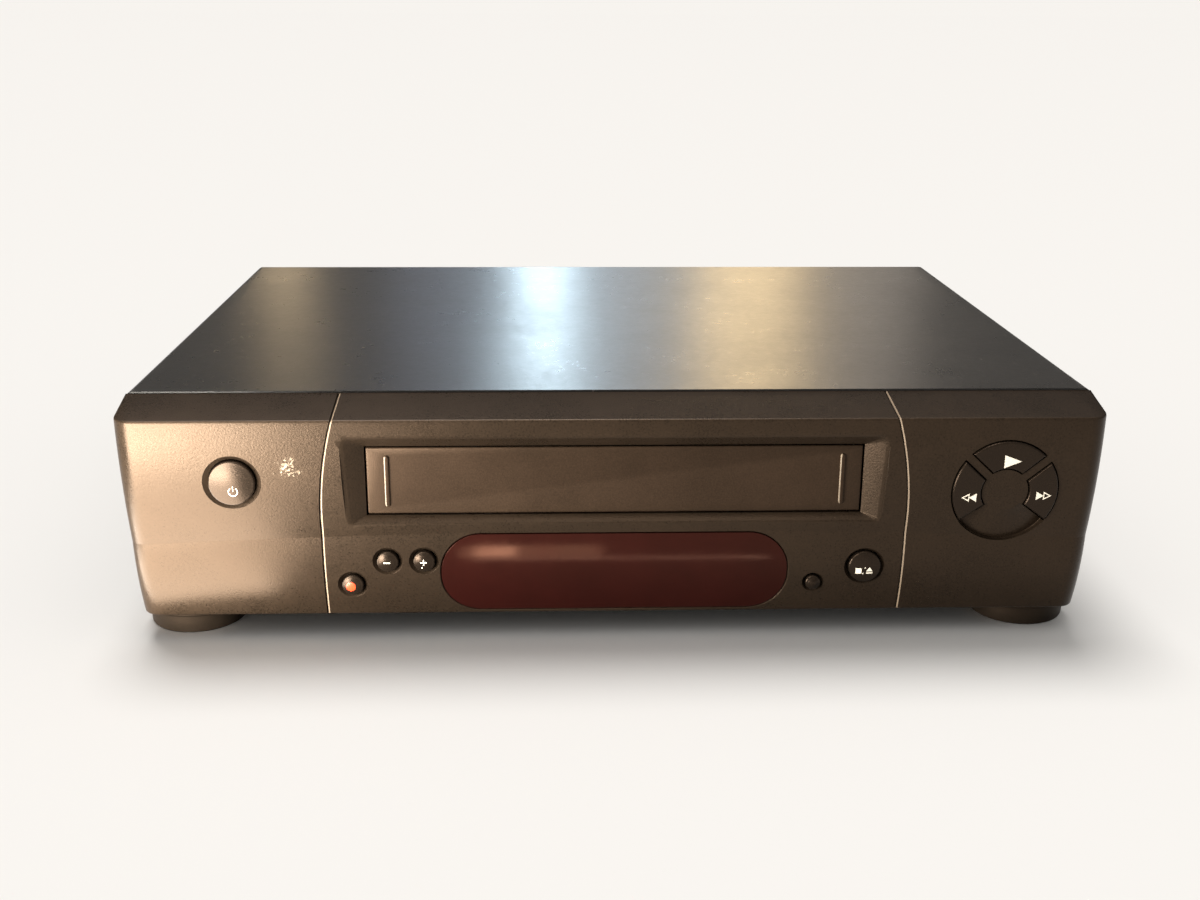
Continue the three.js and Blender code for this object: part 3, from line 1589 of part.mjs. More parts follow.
function loadingMotor() {
  return rod('x', [wormY, wormZ], motorRadius, motorFaceX, motorFaceX + motorLength);
}

piece('chassis_tub', chassisTub(), looks.tub);
piece('rear_panel', rearPanel(), looks.zinc);
[
  ['foot_front_left', -footX, footFrontY],
  ['foot_front_right', footX, footFrontY],
  ['foot_rear_left', -footX, footRearY],
  ['foot_rear_right', footX, footRearY],
].forEach(([name, x, y]) => piece(name, foot(x, y), looks.rubber));
piece('main_board', mainBoard(), looks.board);
piece('power_board', powerBoard(), looks.board);
piece('mains_transformer', transformer(), looks.steel);
piece(
  'mains_capacitor',
  rod('z', [capacitorX, capacitorY], capacitorRadius, boardTop, boardTop + capacitorHeight),
  looks.sleeve,
);
piece('heat_sink', heatSink(), looks.alloy);
scartPlaces.forEach((x, i) => piece(`scart_socket_${i + 1}`, scartSocket(x), looks.tub));
piece('tuner_box', tunerBox(), looks.zinc);
piece('mains_inlet', mainsInlet(), looks.tub);
piece('deck_plate', deckPlate(), looks.zinc);
piece('carriage_bracket_left', carriageBracket(-1), looks.zinc);
piece('carriage_bracket_right', carriageBracket(1), looks.zinc);
piece('carriage_slider', carriageSlider(), looks.steel);
piece('cassette_holder', cassetteHolder(), looks.zinc);
piece('lower_drum', lowerDrum(), looks.alloy);
piece('upper_drum', upperDrum(), looks.alloy);
piece('capstan_flywheel', capstan(), looks.steel);
piece('pinch_arm', pinchArm(), looks.steel);
piece('pinch_roller', pinchRoller(), looks.rubber);
piece('tension_arm', tensionArm(), looks.steel);
piece('guide_arm_left', guideArm(-1), looks.steel);
piece('guide_arm_right', guideArm(1), looks.steel);
piece('supply_reel', reel(-1), looks.acetal);
piece('takeup_reel', reel(1), looks.acetal);
piece('idler_arm', idlerArm(), looks.acetal);
piece('idler_gear', idlerGear(), looks.acetal);
piece('erase_head', eraseHead(), looks.steel);
piece('sound_head', soundHead(), looks.steel);
piece('cam_gear', camGear(), looks.acetal);
piece('worm', worm(), looks.acetal);
piece('loading_motor', loadingMotor(), looks.steel);
piece('key_board', keyBoard(), looks.board);
piece('display_tube', displayTube(), looks.glass);
piece('front_panel', frontPanel(), looks.panel);
piece('display_window', displayWindow(), looks.smoke);
piece('cassette_door', cassetteDoor(), looks.door);
piece('door_spring', doorSpring(), looks.steel);
roundButtons.forEach((button) => piece(button.name, roundButton(button), looks.button));
ringButtons.forEach((button) => piece(button.name, ringButton(button), looks.button));
piece('top_cover', topCover(), looks.paint);
screwPlaces.forEach((x, i) => piece(`cover_screw_${i + 1}`, coverScrew(x), looks.steel));

// Centre the recorder front to back between the foremost point of its face and the ends of its sockets.
const bounds = new THREE.Box3().setFromObject(recorder);
recorder.position.y = -(bounds.min.y + bounds.max.y) / 2;

export default recorder;
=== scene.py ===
"""A front-loading video cassette recorder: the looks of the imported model."""

import json
from math import asin, atan2, cos, degrees, hypot, pi, radians, sin, sqrt, tan

import bmesh
import bpy
from mathutils import Matrix, Vector

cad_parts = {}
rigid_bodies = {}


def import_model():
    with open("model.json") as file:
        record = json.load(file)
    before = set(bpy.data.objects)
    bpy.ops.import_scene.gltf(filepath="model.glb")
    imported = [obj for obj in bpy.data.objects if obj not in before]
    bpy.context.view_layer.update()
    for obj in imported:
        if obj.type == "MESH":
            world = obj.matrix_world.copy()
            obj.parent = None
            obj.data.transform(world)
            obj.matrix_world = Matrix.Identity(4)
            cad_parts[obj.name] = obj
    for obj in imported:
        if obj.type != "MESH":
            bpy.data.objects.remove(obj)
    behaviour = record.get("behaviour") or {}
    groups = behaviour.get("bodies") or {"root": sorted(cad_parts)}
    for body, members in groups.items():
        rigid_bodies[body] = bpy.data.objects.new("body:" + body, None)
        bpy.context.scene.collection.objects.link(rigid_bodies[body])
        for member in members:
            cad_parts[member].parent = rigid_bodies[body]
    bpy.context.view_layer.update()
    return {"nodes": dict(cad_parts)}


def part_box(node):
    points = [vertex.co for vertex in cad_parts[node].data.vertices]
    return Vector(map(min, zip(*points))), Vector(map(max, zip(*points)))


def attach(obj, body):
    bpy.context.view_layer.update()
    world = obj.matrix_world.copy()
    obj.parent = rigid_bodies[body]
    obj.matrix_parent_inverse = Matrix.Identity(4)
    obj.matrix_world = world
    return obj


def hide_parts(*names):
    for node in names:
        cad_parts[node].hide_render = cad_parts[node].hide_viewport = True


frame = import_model()


# Chassis tub.
# One moulding of black polypropylene that holds the boards, the deck and the feet.
# Its walls come from a spark eroded mould, so they are dull and evenly pitted.
front_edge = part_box("top_cover")[0].y


def place(x, depth, height):
    """A point in metres, from millimetres to the right, behind the cover's front edge and above the floor."""
    return Vector((x * 0.001, front_edge + depth * 0.001, height * 0.001))


def srgb(written):
    """A hex colour as it is seen, turned to the linear values that the shaders take."""
    channels = [int(written[i:i + 2], 16) / 255 for i in (1, 3, 5)]
    return [c / 12.92 if c <= 0.04045 else ((c + 0.055) / 1.055) ** 2.4 for c in channels] + [1.0]


def repeats(size_mm):
    """The scale of a pattern whose features are this many millimetres across."""
    return 1000.0 / size_mm


def node(material, kind, sockets=None, **settings):
    """Add one node: its settings, then its sockets, each a plain value or another node's output."""
    tree = material.node_tree
    made = tree.nodes.new(kind)
    for name, value in settings.items():
        setattr(made, name, value)
    for socket, value in (sockets or {}).items():
        if isinstance(value, bpy.types.NodeSocket):
            tree.links.new(value, made.inputs[socket])
        else:
            made.inputs[socket].default_value = value
    return made


def feed(shader, sockets):
    """Link nodes' outputs to a shader's own sockets."""
    for socket, output in sockets.items():
        shader.id_data.links.new(output, shader.inputs[socket])


def new_finish(name, colour, roughness, metallic=0.0, ior=None, level=None, tint=None):
    """A material with its principled shader, whose even values are set on the shader's own sockets."""
    material = bpy.data.materials.new(name)
    material.use_nodes = True
    shader = material.node_tree.nodes["Principled BSDF"]
    shader.inputs["Base Color"].default_value = srgb(colour)
    shader.inputs["Roughness"].default_value = roughness
    shader.inputs["Metallic"].default_value = metallic
    if ior:
        shader.inputs["IOR"].default_value = ior
    if level:
        shader.inputs["Specular IOR Level"].default_value = level
    if tint:
        shader.inputs["Specular Tint"].default_value = srgb(tint)
    return material, shader


def moulded(material, shader, dark, light, grain_mm, grain_depth_mm, smooth, rough, edge_mm=0.3):
    """A moulded plastic skin: pits from the mould, a slow drift in tone and gloss, and slightly soft edges.

    Real pits are a tenth of a millimetre or so across. They are drawn coarser, so that they show.
    """
    where = node(material, "ShaderNodeTexCoord")
    pits = node(material, "ShaderNodeTexNoise", {
        "Vector": where.outputs["Object"], "Scale": repeats(grain_mm), "Detail": 2.0, "Roughness": 0.6})
    drift = node(material, "ShaderNodeTexNoise", {
        "Vector": where.outputs["Object"], "Scale": repeats(38), "Detail": 9.0, "Roughness": 0.68})
    speckled = node(material, "ShaderNodeMath", {
        0: pits.outputs["Fac"], 1: 1.3, 2: drift.outputs["Fac"]}, operation="MULTIPLY_ADD")
    share = node(material, "ShaderNodeMapRange", {
        "Value": speckled.outputs["Value"], "From Min": 0.8, "From Max": 1.5})
    tone = node(material, "ShaderNodeMix", {
        0: share.outputs["Result"], 6: srgb(dark), 7: srgb(light)}, data_type="RGBA")
    gloss = node(material, "ShaderNodeMapRange", {
        "Value": speckled.outputs["Value"], "From Min": 0.8, "From Max": 1.5,
        "To Min": smooth, "To Max": rough})
    softened = node(material, "ShaderNodeBevel", {"Radius": edge_mm * 0.001}, samples=4)
    grain = node(material, "ShaderNodeBump", {
        "Height": pits.outputs["Fac"], "Distance": grain_depth_mm * 0.001, "Strength": 1.0,
        "Normal": softened.outputs["Normal"]})
    feed(shader, {"Base Color": tone.outputs[2], "Roughness": gloss.outputs["Result"],
                  "Normal": grain.outputs["Normal"]})
    return where, tone


def dress(material, *names):
    """Give CAD nodes that keep their own shape a finish."""
    for name in names:
        for holder in frame["nodes"][name].material_slots:
            holder.material = material


tub_plastic, tub_shader = new_finish("black polypropylene, spark eroded", "#26231f", 0.6, ior=1.49)
moulded(tub_plastic, tub_shader, "#211e1b", "#2c2925", 0.5, 0.02, 0.52, 0.68)
dress(tub_plastic, "chassis_tub")


# Rear panel, tuner can and bright sheet parts of the deck.
# They are pressed from steel sheet that was zinc plated, and stay bare inside the case.
# The plating gives the eye a cool grey with faint crystal patches and light rolling lines.
zinc_plate, zinc_shader = new_finish("zinc plated steel sheet, rolled", "#a9aba8", 0.38, metallic=1.0)
where = node(zinc_plate, "ShaderNodeTexCoord")
patches = node(zinc_plate, "ShaderNodeTexVoronoi", {"Vector": where.outputs["Object"], "Scale": repeats(9)})
# Real rolling lines are too fine to show, so they are drawn 0.8 mm across.
rolled = node(zinc_plate, "ShaderNodeMapping", {"Vector": where.outputs["Object"], "Scale": (0.05, 1.0, 1.0)})
lines = node(zinc_plate, "ShaderNodeTexNoise", {"Vector": rolled.outputs["Vector"], "Scale": repeats(0.8)})
tone = node(zinc_plate, "ShaderNodeMix", {
    0: patches.outputs["Color"], 6: srgb("#9a9c99"), 7: srgb("#b6b8b4")}, data_type="RGBA")
gloss = node(zinc_plate, "ShaderNodeMapRange", {
    "Value": lines.outputs["Fac"], "From Min": 0.3, "From Max": 0.7, "To Min": 0.3, "To Max": 0.46})
waves = node(zinc_plate, "ShaderNodeBump", {
    "Height": lines.outputs["Fac"], "Distance": 0.00001, "Strength": 0.6})
feed(zinc_shader, {"Base Color": tone.outputs[2], "Roughness": gloss.outputs["Result"],
                   "Normal": waves.outputs["Normal"]})
dress(zinc_plate, "rear_panel", "tuner_box", "deck_plate", "cassette_holder",
      "carriage_bracket_left", "carriage_bracket_right")


# Feet.
# Four round pads of black rubber, moulded with a chamfered sole and a shallow ring groove.
# They press into the tub's floor, and their sides are dull with a faint bloom.
def solid(name, points, faces):
    """A mesh object in millimetres, with its faces turned outwards."""
    mesh = bpy.data.meshes.new(name)
    mesh.from_pydata([tuple(p) for p in points], [], faces)
    work = bmesh.new()
    work.from_mesh(mesh)
    bmesh.ops.recalc_face_normals(work, faces=work.faces)
    work.to_mesh(mesh)
    work.free()
    made = bpy.data.objects.new(name, mesh)
    bpy.context.scene.collection.objects.link(made)
    return made


def finished(made, materials, body, stands_for=(), sharp=30):
    """Turn a solid in millimetres into a piece in metres that rides on its body."""
    made.data.transform(Matrix.Translation((0, front_edge, 0)) @ Matrix.Scale(0.001, 4))
    made.data.materials.clear()
    for material in materials:
        made.data.materials.append(material)
    made.data.shade_smooth()
    made.data.set_sharp_from_angle(angle=radians(sharp))
    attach(made, body)
    if stands_for:
        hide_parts(*stands_for)
    return made


def turned(name, profile, centre, axis="z", sides=48, tilt=0.0):
    """A turned solid with a profile of (radius, height). Height runs up, to the right or out of the front."""
    points, faces, rings = [], [], []
    for radius, height in profile:
        count = 1 if radius < 1e-6 else sides
        ring = []
        for i in range(count):
            angle = 2 * pi * i / sides
            flat = (radius * cos(angle), radius * sin(angle))
            if axis == "z":
                offset = (flat[0], flat[1], height)
            elif axis == "x":
                offset = (height, flat[0], flat[1])
            else:
                offset = (flat[0], -height * cos(tilt) - flat[1] * sin(tilt),
                          flat[1] * cos(tilt) - height * sin(tilt))
            ring.append(len(points))
            points.append([centre[k] + offset[k] for k in range(3)])
        rings.append(ring)
    for low, high in zip(rings, rings[1:]):
        for i in range(sides):
            corners = [low[i % len(low)], low[(i + 1) % len(low)],
                       high[(i + 1) % len(high)], high[i % len(high)]]
            kept = [c for k, c in enumerate(corners) if c != corners[k - 1]]
            if len(kept) > 2:
                faces.append(kept)
    return solid(name, points, faces)


foot_radius, foot_height = 19.5, 10.2
rubber, rubber_shader = new_finish(
    "black rubber, moulded", "#17130f", 0.55, ior=1.52, level=0.25, tint="#ffd8b8")
moulded(rubber, rubber_shader, "#120f0b", "#1f1914", 0.35, 0.015, 0.45, 0.65)
for side, x in (("left", -170), ("right", 170)):
    for end, depth in (("front", 6), ("rear", 232)):
        sole = [(0, 0), (8, 0), (8.5, 0.8), (12.5, 0.8), (13, 0), (foot_radius - 1.6, 0),
                (foot_radius - 0.9, 0.25), (foot_radius - 0.55, 0.9), (foot_radius - 0.3, 5),
                (foot_radius - 0.25, 7.2), (foot_radius, 7.6), (foot_radius, foot_height - 0.4),
                (foot_radius - 0.4, foot_height), (0, foot_height)]
        finished(turned(f"foot_pad_{end}_{side}", sole, (x, depth, 0), sides=64),
                 [rubber], "case", [f"foot_{end}_{side}"])


# Circuit boards.
# Sheets of lacquered phenolic paper, with small packages and sleeved cans soldered through them.
# The paper gives the eye a warm tan with faint fibres, and the lacquer over it a low shine.
def mottled(material, shader, dark, light, patch_mm, detail, contrast=0.5):
    """A surface whose tone drifts in small patches between two colours."""
    where = node(material, "ShaderNodeTexCoord")
    patches = node(material, "ShaderNodeTexNoise", {
        "Vector": where.outputs["Object"], "Scale": repeats(patch_mm), "Detail": detail,
        "Roughness": contrast})
    tone = node(material, "ShaderNodeMix", {
        0: patches.outputs["Fac"], 6: srgb(dark), 7: srgb(light)}, data_type="RGBA")
    feed(shader, {"Base Color": tone.outputs[2]})


board_resin, board_shader = new_finish("phenolic paper board, lacquered", "#7c5a30", 0.42, ior=1.55)
# Real fibres are finer than 1.6 mm. They are drawn so coarse that they show.
mottled(board_resin, board_shader, "#6d4d27", "#8d6a3b", 1.6, 5.0)
dress(board_resin, "main_board", "power_board", "key_board")


def box_shell(x0, x1, y0, y1, z0, z1):
    """The corners and faces of a block."""
    points = [(x, y, z) for x in (x0, x1) for y in (y0, y1) for z in (z0, z1)]
    faces = [(0, 1, 3, 2), (4, 6, 7, 5), (0, 4, 5, 1), (2, 3, 7, 6), (0, 2, 6, 4), (1, 5, 7, 3)]
    return points, faces


def gathered(name, shells):
    """Several closed shells as one mesh object."""
    points, faces = [], []
    for more, their_faces in shells:
        faces += [tuple(i + len(points) for i in face) for face in their_faces]
        points += more
    return solid(name, points, faces)


def rounded_block(name, x0, x1, y0, y1, z0, z1, radius=0.4, segments=2):
    """A block with softened edges."""
    made = solid(name, *box_shell(x0, x1, y0, y1, z0, z1))
    work = bmesh.new()
    work.from_mesh(made.data)
    bmesh.ops.bevel(
        work, geom=work.edges[:], offset=radius, segments=segments, profile=0.5, affect="EDGES")
    work.to_mesh(made.data)
    work.free()
    return made


# Moulding epoxy gives a dull, even black.
epoxy, epoxy_shader = new_finish("black moulding epoxy, matt", "#1d1d1e", 0.5, ior=1.55)
moulded(epoxy, epoxy_shader, "#191919", "#242425", 0.3, 0.01, 0.42, 0.58)
board_top = 18.6
packages = []
for x0, depth, width, length in ((122, 60, 12, 34), (150, 88, 10, 26), (128, 128, 9, 22), (160, 160, 14, 38)):
    packages.append(box_shell(x0, x0 + width, depth, depth + length, board_top + 0.6, board_top + 3.8))
finished(gathered("main_board_packages", packages), [epoxy], "case")
# Shrink sleeve gives a smooth blue-black satin.
sleeve, sleeve_shader = new_finish("shrink sleeve, satin", "#20242e", 0.35, ior=1.5)
moulded(sleeve, sleeve_shader, "#1b1f29", "#272c38", 0.8, 0.01, 0.3, 0.42)
cans = ((176, 40, 4, 11), (164, 56, 3, 9), (114, 96, 5, 13), (176, 120, 4, 11),
        (120, 170, 6.5, 18), (-114, 200, 5, 12), (-176, 128, 4, 11), (-126, 232, 6, 16))
for count, (x, depth, radius, height) in enumerate(cans):
    can = [(0, board_top), (radius - 0.4, board_top), (radius, board_top + 0.4), (radius, board_top + 1.6),
           (radius - 0.3, board_top + 2), (radius, board_top + 2.4), (radius, board_top + height - 0.5),
           (radius - 0.5, board_top + height), (0, board_top + height - 0.2)]
    finished(turned(f"board_capacitor_{count + 1}", can, (x, depth, 0), sides=24),
             [sleeve], "case")


# Power supply.
# The transformer is a stack of pressed core sheets round its winding, beside the smoothing capacitor.
# An extruded fin block cools the regulator. The core shows the edges of its sheets in dark varnish.
core_steel, core_shader = new_finish("transformer core steel, varnished", "#4b4541", 0.45, metallic=0.8)
where = node(core_steel, "ShaderNodeTexCoord")
# Real core sheets are about half a millimetre thick. They are drawn thicker, so that they show.
stack = node(core_steel, "ShaderNodeTexWave", {
    "Vector": where.outputs["Object"], "Scale": repeats(1.0) / 6.28, "Distortion": 0.3}, bands_direction="Y")
edges = node(core_steel, "ShaderNodeBump", {
    "Height": stack.outputs["Fac"], "Distance": 0.00008, "Strength": 0.8})
feed(core_shader, {"Normal": edges.outputs["Normal"]})
dress(core_steel, "mains_transformer")
dress(sleeve, "mains_capacitor")
# Turned alloy gives a bright pale metal with fine rings, drawn about a millimetre apart so that they show.
drum_alloy, alloy_shader = new_finish("aluminium alloy, turned", "#b9bbbc", 0.28, metallic=1.0)
where = node(drum_alloy, "ShaderNodeTexCoord")
cut_lines = node(drum_alloy, "ShaderNodeTexWave", {
    "Vector": where.outputs["Object"], "Scale": repeats(0.5) / 6.28, "Distortion": 1.0}, bands_direction="Z")
turning = node(drum_alloy, "ShaderNodeBump", {
    "Height": cut_lines.outputs["Fac"], "Distance": 0.000015, "Strength": 0.5})
feed(alloy_shader, {"Normal": turning.outputs["Normal"]})
dress(drum_alloy, "heat_sink", "lower_drum", "upper_drum")


# Rear sockets.
# Two 21-way sockets with black shells, and the tuner's two aerial sockets, stand through the rear panel.
# The mains inlet has two round pins. The contacts are nickel plated, pale and slightly warm.
def wiped(material, shader, patch_mm, detail, smooth, rough):
    """A metal whose gloss drifts in small patches."""
    where = node(material, "ShaderNodeTexCoord")
    patches = node(material, "ShaderNodeTexNoise", {
        "Vector": where.outputs["Object"], "Scale": repeats(patch_mm), "Detail": detail})
    gloss = node(material, "ShaderNodeMapRange", {
        "Value": patches.outputs["Fac"], "From Min": 0.3, "From Max": 0.7, "To Min": smooth, "To Max": rough})
    feed(shader, {"Roughness": gloss.outputs["Result"]})


nickel, nickel_shader = new_finish("nickel plated brass, pressed", "#b8ad94", 0.3, metallic=1.0)
wiped(nickel, nickel_shader, 3, 3.0, 0.22, 0.4)
dress(tub_plastic, "scart_socket_1", "scart_socket_2", "mains_inlet")
rear_face, socket_reach = 261 - 1.3, 1.8
shroud_end = rear_face + socket_reach
socket_height = 30
for number, x in ((1, 4), (2, 62)):
    insert = [box_shell(x - 20.5, x + 20.5, shroud_end - 9, shroud_end - 2.2,
                        socket_height - 0.9, socket_height + 0.9)]
    finished(gathered(f"scart_tongue_{number}", insert), [tub_plastic], "case")
    blades = []
    for i in range(10):
        for row, shift in ((1, 0), (-1, 1.9)):
            at = x - 18.3 + i * 3.8 + shift
            blades.append(box_shell(at - 0.8, at + 0.8, shroud_end - 8.6, shroud_end - 2.6,
                                    socket_height + row * 1.1 - 0.25, socket_height + row * 1.1 + 0.25))
    finished(gathered(f"scart_blades_{number}", blades), [nickel], "case")
for number, x in ((1, 133), (2, 159)):
    core = [(0, 251.4), (1.1, 251.4), (1.1, 262), (0.8, 262.5), (0, 262.5)]
    finished(turned(f"aerial_contact_{number}", [(r, -h) for r, h in core], (x, 0, 31), axis="y", sides=16),
             [nickel], "case")


# Tape deck.
# Steel arms, posts and heads stand on the plated deck plate, and acetal reels and gears turn on its pins.
# Bright steel is drawn and shines unevenly in small patches. Acetal is milky with a waxy sheen.
bright_steel, steel_shader = new_finish("drawn steel, bright", "#8d8f91", 0.3, metallic=1.0)
wiped(bright_steel, steel_shader, 1.2, 4.0, 0.22, 0.42)
acetal, acetal_shader = new_finish("white acetal, moulded", "#dcd8cc", 0.42, ior=1.48)
moulded(acetal, acetal_shader, "#d4cfc2", "#e2dfd4", 0.9, 0.008, 0.36, 0.5)
acetal_shader.inputs["Subsurface Weight"].default_value = 0.1
acetal_shader.inputs["Subsurface Scale"].default_value = 0.002
dress(bright_steel, "carriage_slider", "capstan_flywheel", "pinch_arm", "tension_arm", "guide_arm_left",
      "guide_arm_right", "erase_head", "sound_head", "loading_motor", "door_spring")
dress(acetal, "supply_reel", "takeup_reel", "idler_arm", "idler_gear", "cam_gear", "worm")
dress(rubber, "pinch_roller")


# Front panel.
# One injection moulding in black ABS with two bulged lobes, held by a tongue under the cover and by bosses.
# Its satin grain spreads a lamp into a wide glow, and it has one pale chipped scuff at the left.
half_width = 190.0
panel_low = 10.5
shelf_rear, shelf_front = 96.2, 92.2
end_gap, end_radius = 0.4, 7.5
taper, panel_height = 3, 85.7


def crease_at(x):
    """The height of the crease, which arches up in the middle."""
    return 46.5 - 4.5 * (x / half_width) ** 2


def face_depth(x, z):
    """How far behind the cover's front edge the panel's face lies at one place."""
    crease = crease_at(x)
    if z > crease:
        share = (shelf_front - z) / (shelf_front - crease)
        return -25 + 2 * share - 6.4 * share * (1 - share)
    share = (crease - z) / (crease - panel_low)
    return -23 + 4.4 * share - 6.0 * share * (1 - share)


def eased(path, corner, radius, steps):
    """A path of (depth, height) with one of its corners rounded."""
    before, at, after = (Vector(path[corner + k]) for k in (-1, 0, 1))
    back, on = (before - at).normalized(), (after - at).normalized()
    half_angle = back.angle(on) / 2
    reach = radius / tan(half_angle)
    middle = at + (back + on).normalized() * (radius / sin(half_angle))
    first, last = at + back * reach - middle, at + on * reach - middle
    turn = first.angle_signed(last)
    arc = [tuple(middle + Matrix.Rotation(-turn * i / steps, 2) @ first) for i in range(steps + 1)]
    return path[:corner] + arc + path[corner + 1:]


def panel_section(station, inset, back, fine):
    """The panel's outline at one station along its width, drawn in by the inset."""
    end, radius = half_width - end_gap - inset, end_radius - inset
    past = max(0.0, abs(station) - (end - radius))
    set_back = radius - sqrt(max(0.0, radius ** 2 - past ** 2))
    crease = crease_at(station)
    upper, lower = (26, 22) if fine else (6, 5)
    heights = [shelf_front + (crease - shelf_front) * i / upper for i in range(1, upper)]
    heights += [crease + 0.2, crease, crease - 0.2] if fine else [crease]
    heights += [crease + (panel_low - crease) * i / lower for i in range(1, lower + 1)]
    face = [(face_depth(station, z) + set_back + inset, max(z, panel_low + inset)) for z in heights]
    path = [(back, shelf_rear - inset), (-25 + set_back + inset, shelf_front - inset)]
    path += face + [(back, panel_low + inset)]
    if fine:
        path = eased(path, len(path) - 2, 0.9, 4)
        path = eased(path, 1, 1.1, 6)
    return [(station * (1 - (taper / half_width) * (shelf_rear - z) / panel_height), depth, z)
            for depth, z in path]


def loft(name, rings):
    """A closed skin over rings of equal length."""
    count = len(rings[0])
    faces = [(i * count + j, i * count + (j + 1) % count,
              (i + 1) * count + (j + 1) % count, (i + 1) * count + j)
             for i in range(len(rings) - 1) for j in range(count)]
    faces += [tuple(range(count)), tuple(range((len(rings) - 1) * count, len(rings) * count))]
    return solid(name, [p for ring in rings for p in ring], faces)


def slab(name, outline, depths):
    """A flat-sided body between two depths, from an outline of (x, height) points."""
    return loft(name, [[(x, depth, z) for x, z in outline] for depth in depths])


def panel_stations(inset, corner_steps, spacing):
    """Stations along the width, close together where the ends turn back."""
    end, radius = half_width - end_gap - inset, end_radius - inset
    right = [end - radius + radius * cos(pi / 2 * i / corner_steps) for i in range(corner_steps)]
    steps = int((end - radius) / spacing)
    right += [(end - radius) * (1 - i / steps) for i in range(steps + 1)]
    return [-x for x in right] + right[-2::-1]


def panel_solid(name, inset, back, fine=True):
    """The whole panel as a filled body."""
    corner_steps, spacing = (12, 2.2) if fine else (4, 20)
    stations = panel_stations(inset, corner_steps, spacing)
    return loft(name, [panel_section(x, inset, back, fine) for x in stations])


def shaped(body, *steps):
    """Join solids to a body or cut them from it, in order, and drop the tools."""
    for operation, tools in steps:
        for tool in tools:
            step = body.modifiers.new(operation, "BOOLEAN")
            step.operation, step.object, step.solver = operation, tool, "MANIFOLD"
    graph = bpy.context.evaluated_depsgraph_get()
    result = bpy.data.meshes.new_from_object(body.evaluated_get(graph))
    body.modifiers.clear()
    body.data = result
    for _, tools in steps:
        for tool in tools:
            bpy.data.objects.remove(tool, do_unlink=True)
    return body


def rounded_outline(x0, z0, x1, z1, radius, steps):
    """A rectangle with round corners, as (x, height) points."""
    points = []
    for cx, cz, start in ((x1 - radius, z1 - radius, 0), (x0 + radius, z1 - radius, 90),
                          (x0 + radius, z0 + radius, 180), (x1 - radius, z0 + radius, 270)):
        for i in range(steps + 1):
            angle = radians(start + 90 * i / steps)
            points.append((cx + radius * cos(angle), cz + radius * sin(angle)))
    return points


opening_half, opening_low, opening_high = 96.1, 52.6, 80.6
frame_half, frame_low, frame_high = 105, 49.2, 85.3
frame_rise = 5.6
door_front = -20.0
hinge = (0, -16, 82.4)


def bay_funnel():
    """The bay's sloping walls, which run out into the face with a soft lip."""
    def wall(share, spread):
        side = opening_half + (frame_half - opening_half) * share
        top = opening_high + (frame_high - opening_high) * share
        low = opening_low + (frame_low - opening_low) * share
        ring = rounded_outline(-side - spread, low - spread, side + spread, top + spread,
                               2.5 * max(share, 0.1) + spread, 6)
        return [(x * (1 - 0.0143 * share * (z - low) / (top - low)), z) for x, z in ring]

    count = len(wall(1, 0))
    rings = [[(x, door_front, z) for x, z in wall(0, 0)]]
    crossings = []
    for j in range(count):
        low, high = 0.0, 1.6
        for _ in range(30):
            share = (low + high) / 2
            x, z = wall(share, 0)[j]
            if door_front - frame_rise * share > face_depth(x, z):
                low = share
            else:
                high = share
        crossings.append(low)
    for inward, spread, lift in ((0.10, 0.0, None), (0.05, 0.12, None), (0.0, 0.45, 0.06),
                                 (0.0, 0.9, -0.12), (0.0, 3.0, -6.0)):
        ring = []
        for j, share in enumerate(crossings):
            x, z = wall(share - inward, spread)[j]
            depth = door_front - frame_rise * (share - inward) if lift is None else face_depth(x, z) + lift
            ring.append((x, depth, z))
        rings.append(ring)
    return loft("bay funnel", rings)


def groove_at(z):
    """How far from the middle the groove runs at one height: it leans in towards the top."""
    share = max(0.0, (min(z, shelf_front) - 50) / 42.2)
    return 113.2 - 5.8 * share ** 2


def groove_cutter(side):
    """A narrow line pressed into the shelf and face, with a chamfer along its right edge."""
    path = [(p[1], p[2]) for p in panel_section(side * 110, 0, 1.0, True)][:-1]
    path[0] = (0.2, path[0][1])
    rings = []
    for k, (depth, z) in enumerate(path):
        ahead, behind = path[min(k + 1, len(path) - 1)], path[max(k - 1, 0)]
        run = Vector((ahead[0] - behind[0], ahead[1] - behind[1])).normalized()
        out = Vector((run.y, -run.x))
        x = side * groove_at(z)
        corners = ((-0.45, 0.8), (0.72, 0.8), (0.7, 0.02), (0.15, -0.3), (0.15, -0.85), (-0.45, -0.85))
        rings.append([(x + across, depth + out.x * up, z + out.y * up) for across, up in corners])
    return loft("groove", rings)


def dish_cutter(x, z, cap, dish):
    """The shallow bowl round a button, square to the face, with the button's hole behind it."""
    tilt = atan2(face_depth(x, z + 1) - face_depth(x, z - 1), 2)
    hole, lip = cap + 0.3, dish + 0.5
    bowl = [(0, -1.5), (hole, -1.5), (hole, -1.4), (hole + (lip - hole) * 0.5, -0.75), (lip, 0),
            (lip + 2.0, 1.5), (0, 1.5)]
    return [turned("dish", bowl, (x, face_depth(x, z), z), axis="y", sides=72, tilt=-tilt),
            turned("hole", [(0, 10), (hole, 10), (hole, 29), (0, 29)], (x, 0, z), axis="y", sides=72)]


ring_x, ring_z, ring_radius, hub_radius = 150.6, 62.6, 21.0, 9.0
scoop_from, scoop_sweep = 217, 106
scoop_depth = face_depth(ring_x, ring_z - ring_radius / 2)
flange_front, flange_rear, flange_radius = -17.2, -16, 22.2


def sector_limits(r, start, stop, start_half, stop_half):
    """The two angles between which a ring button lies at one radius, in degrees."""
    return start + degrees(asin(start_half / r)), stop - degrees(asin(stop_half / r))


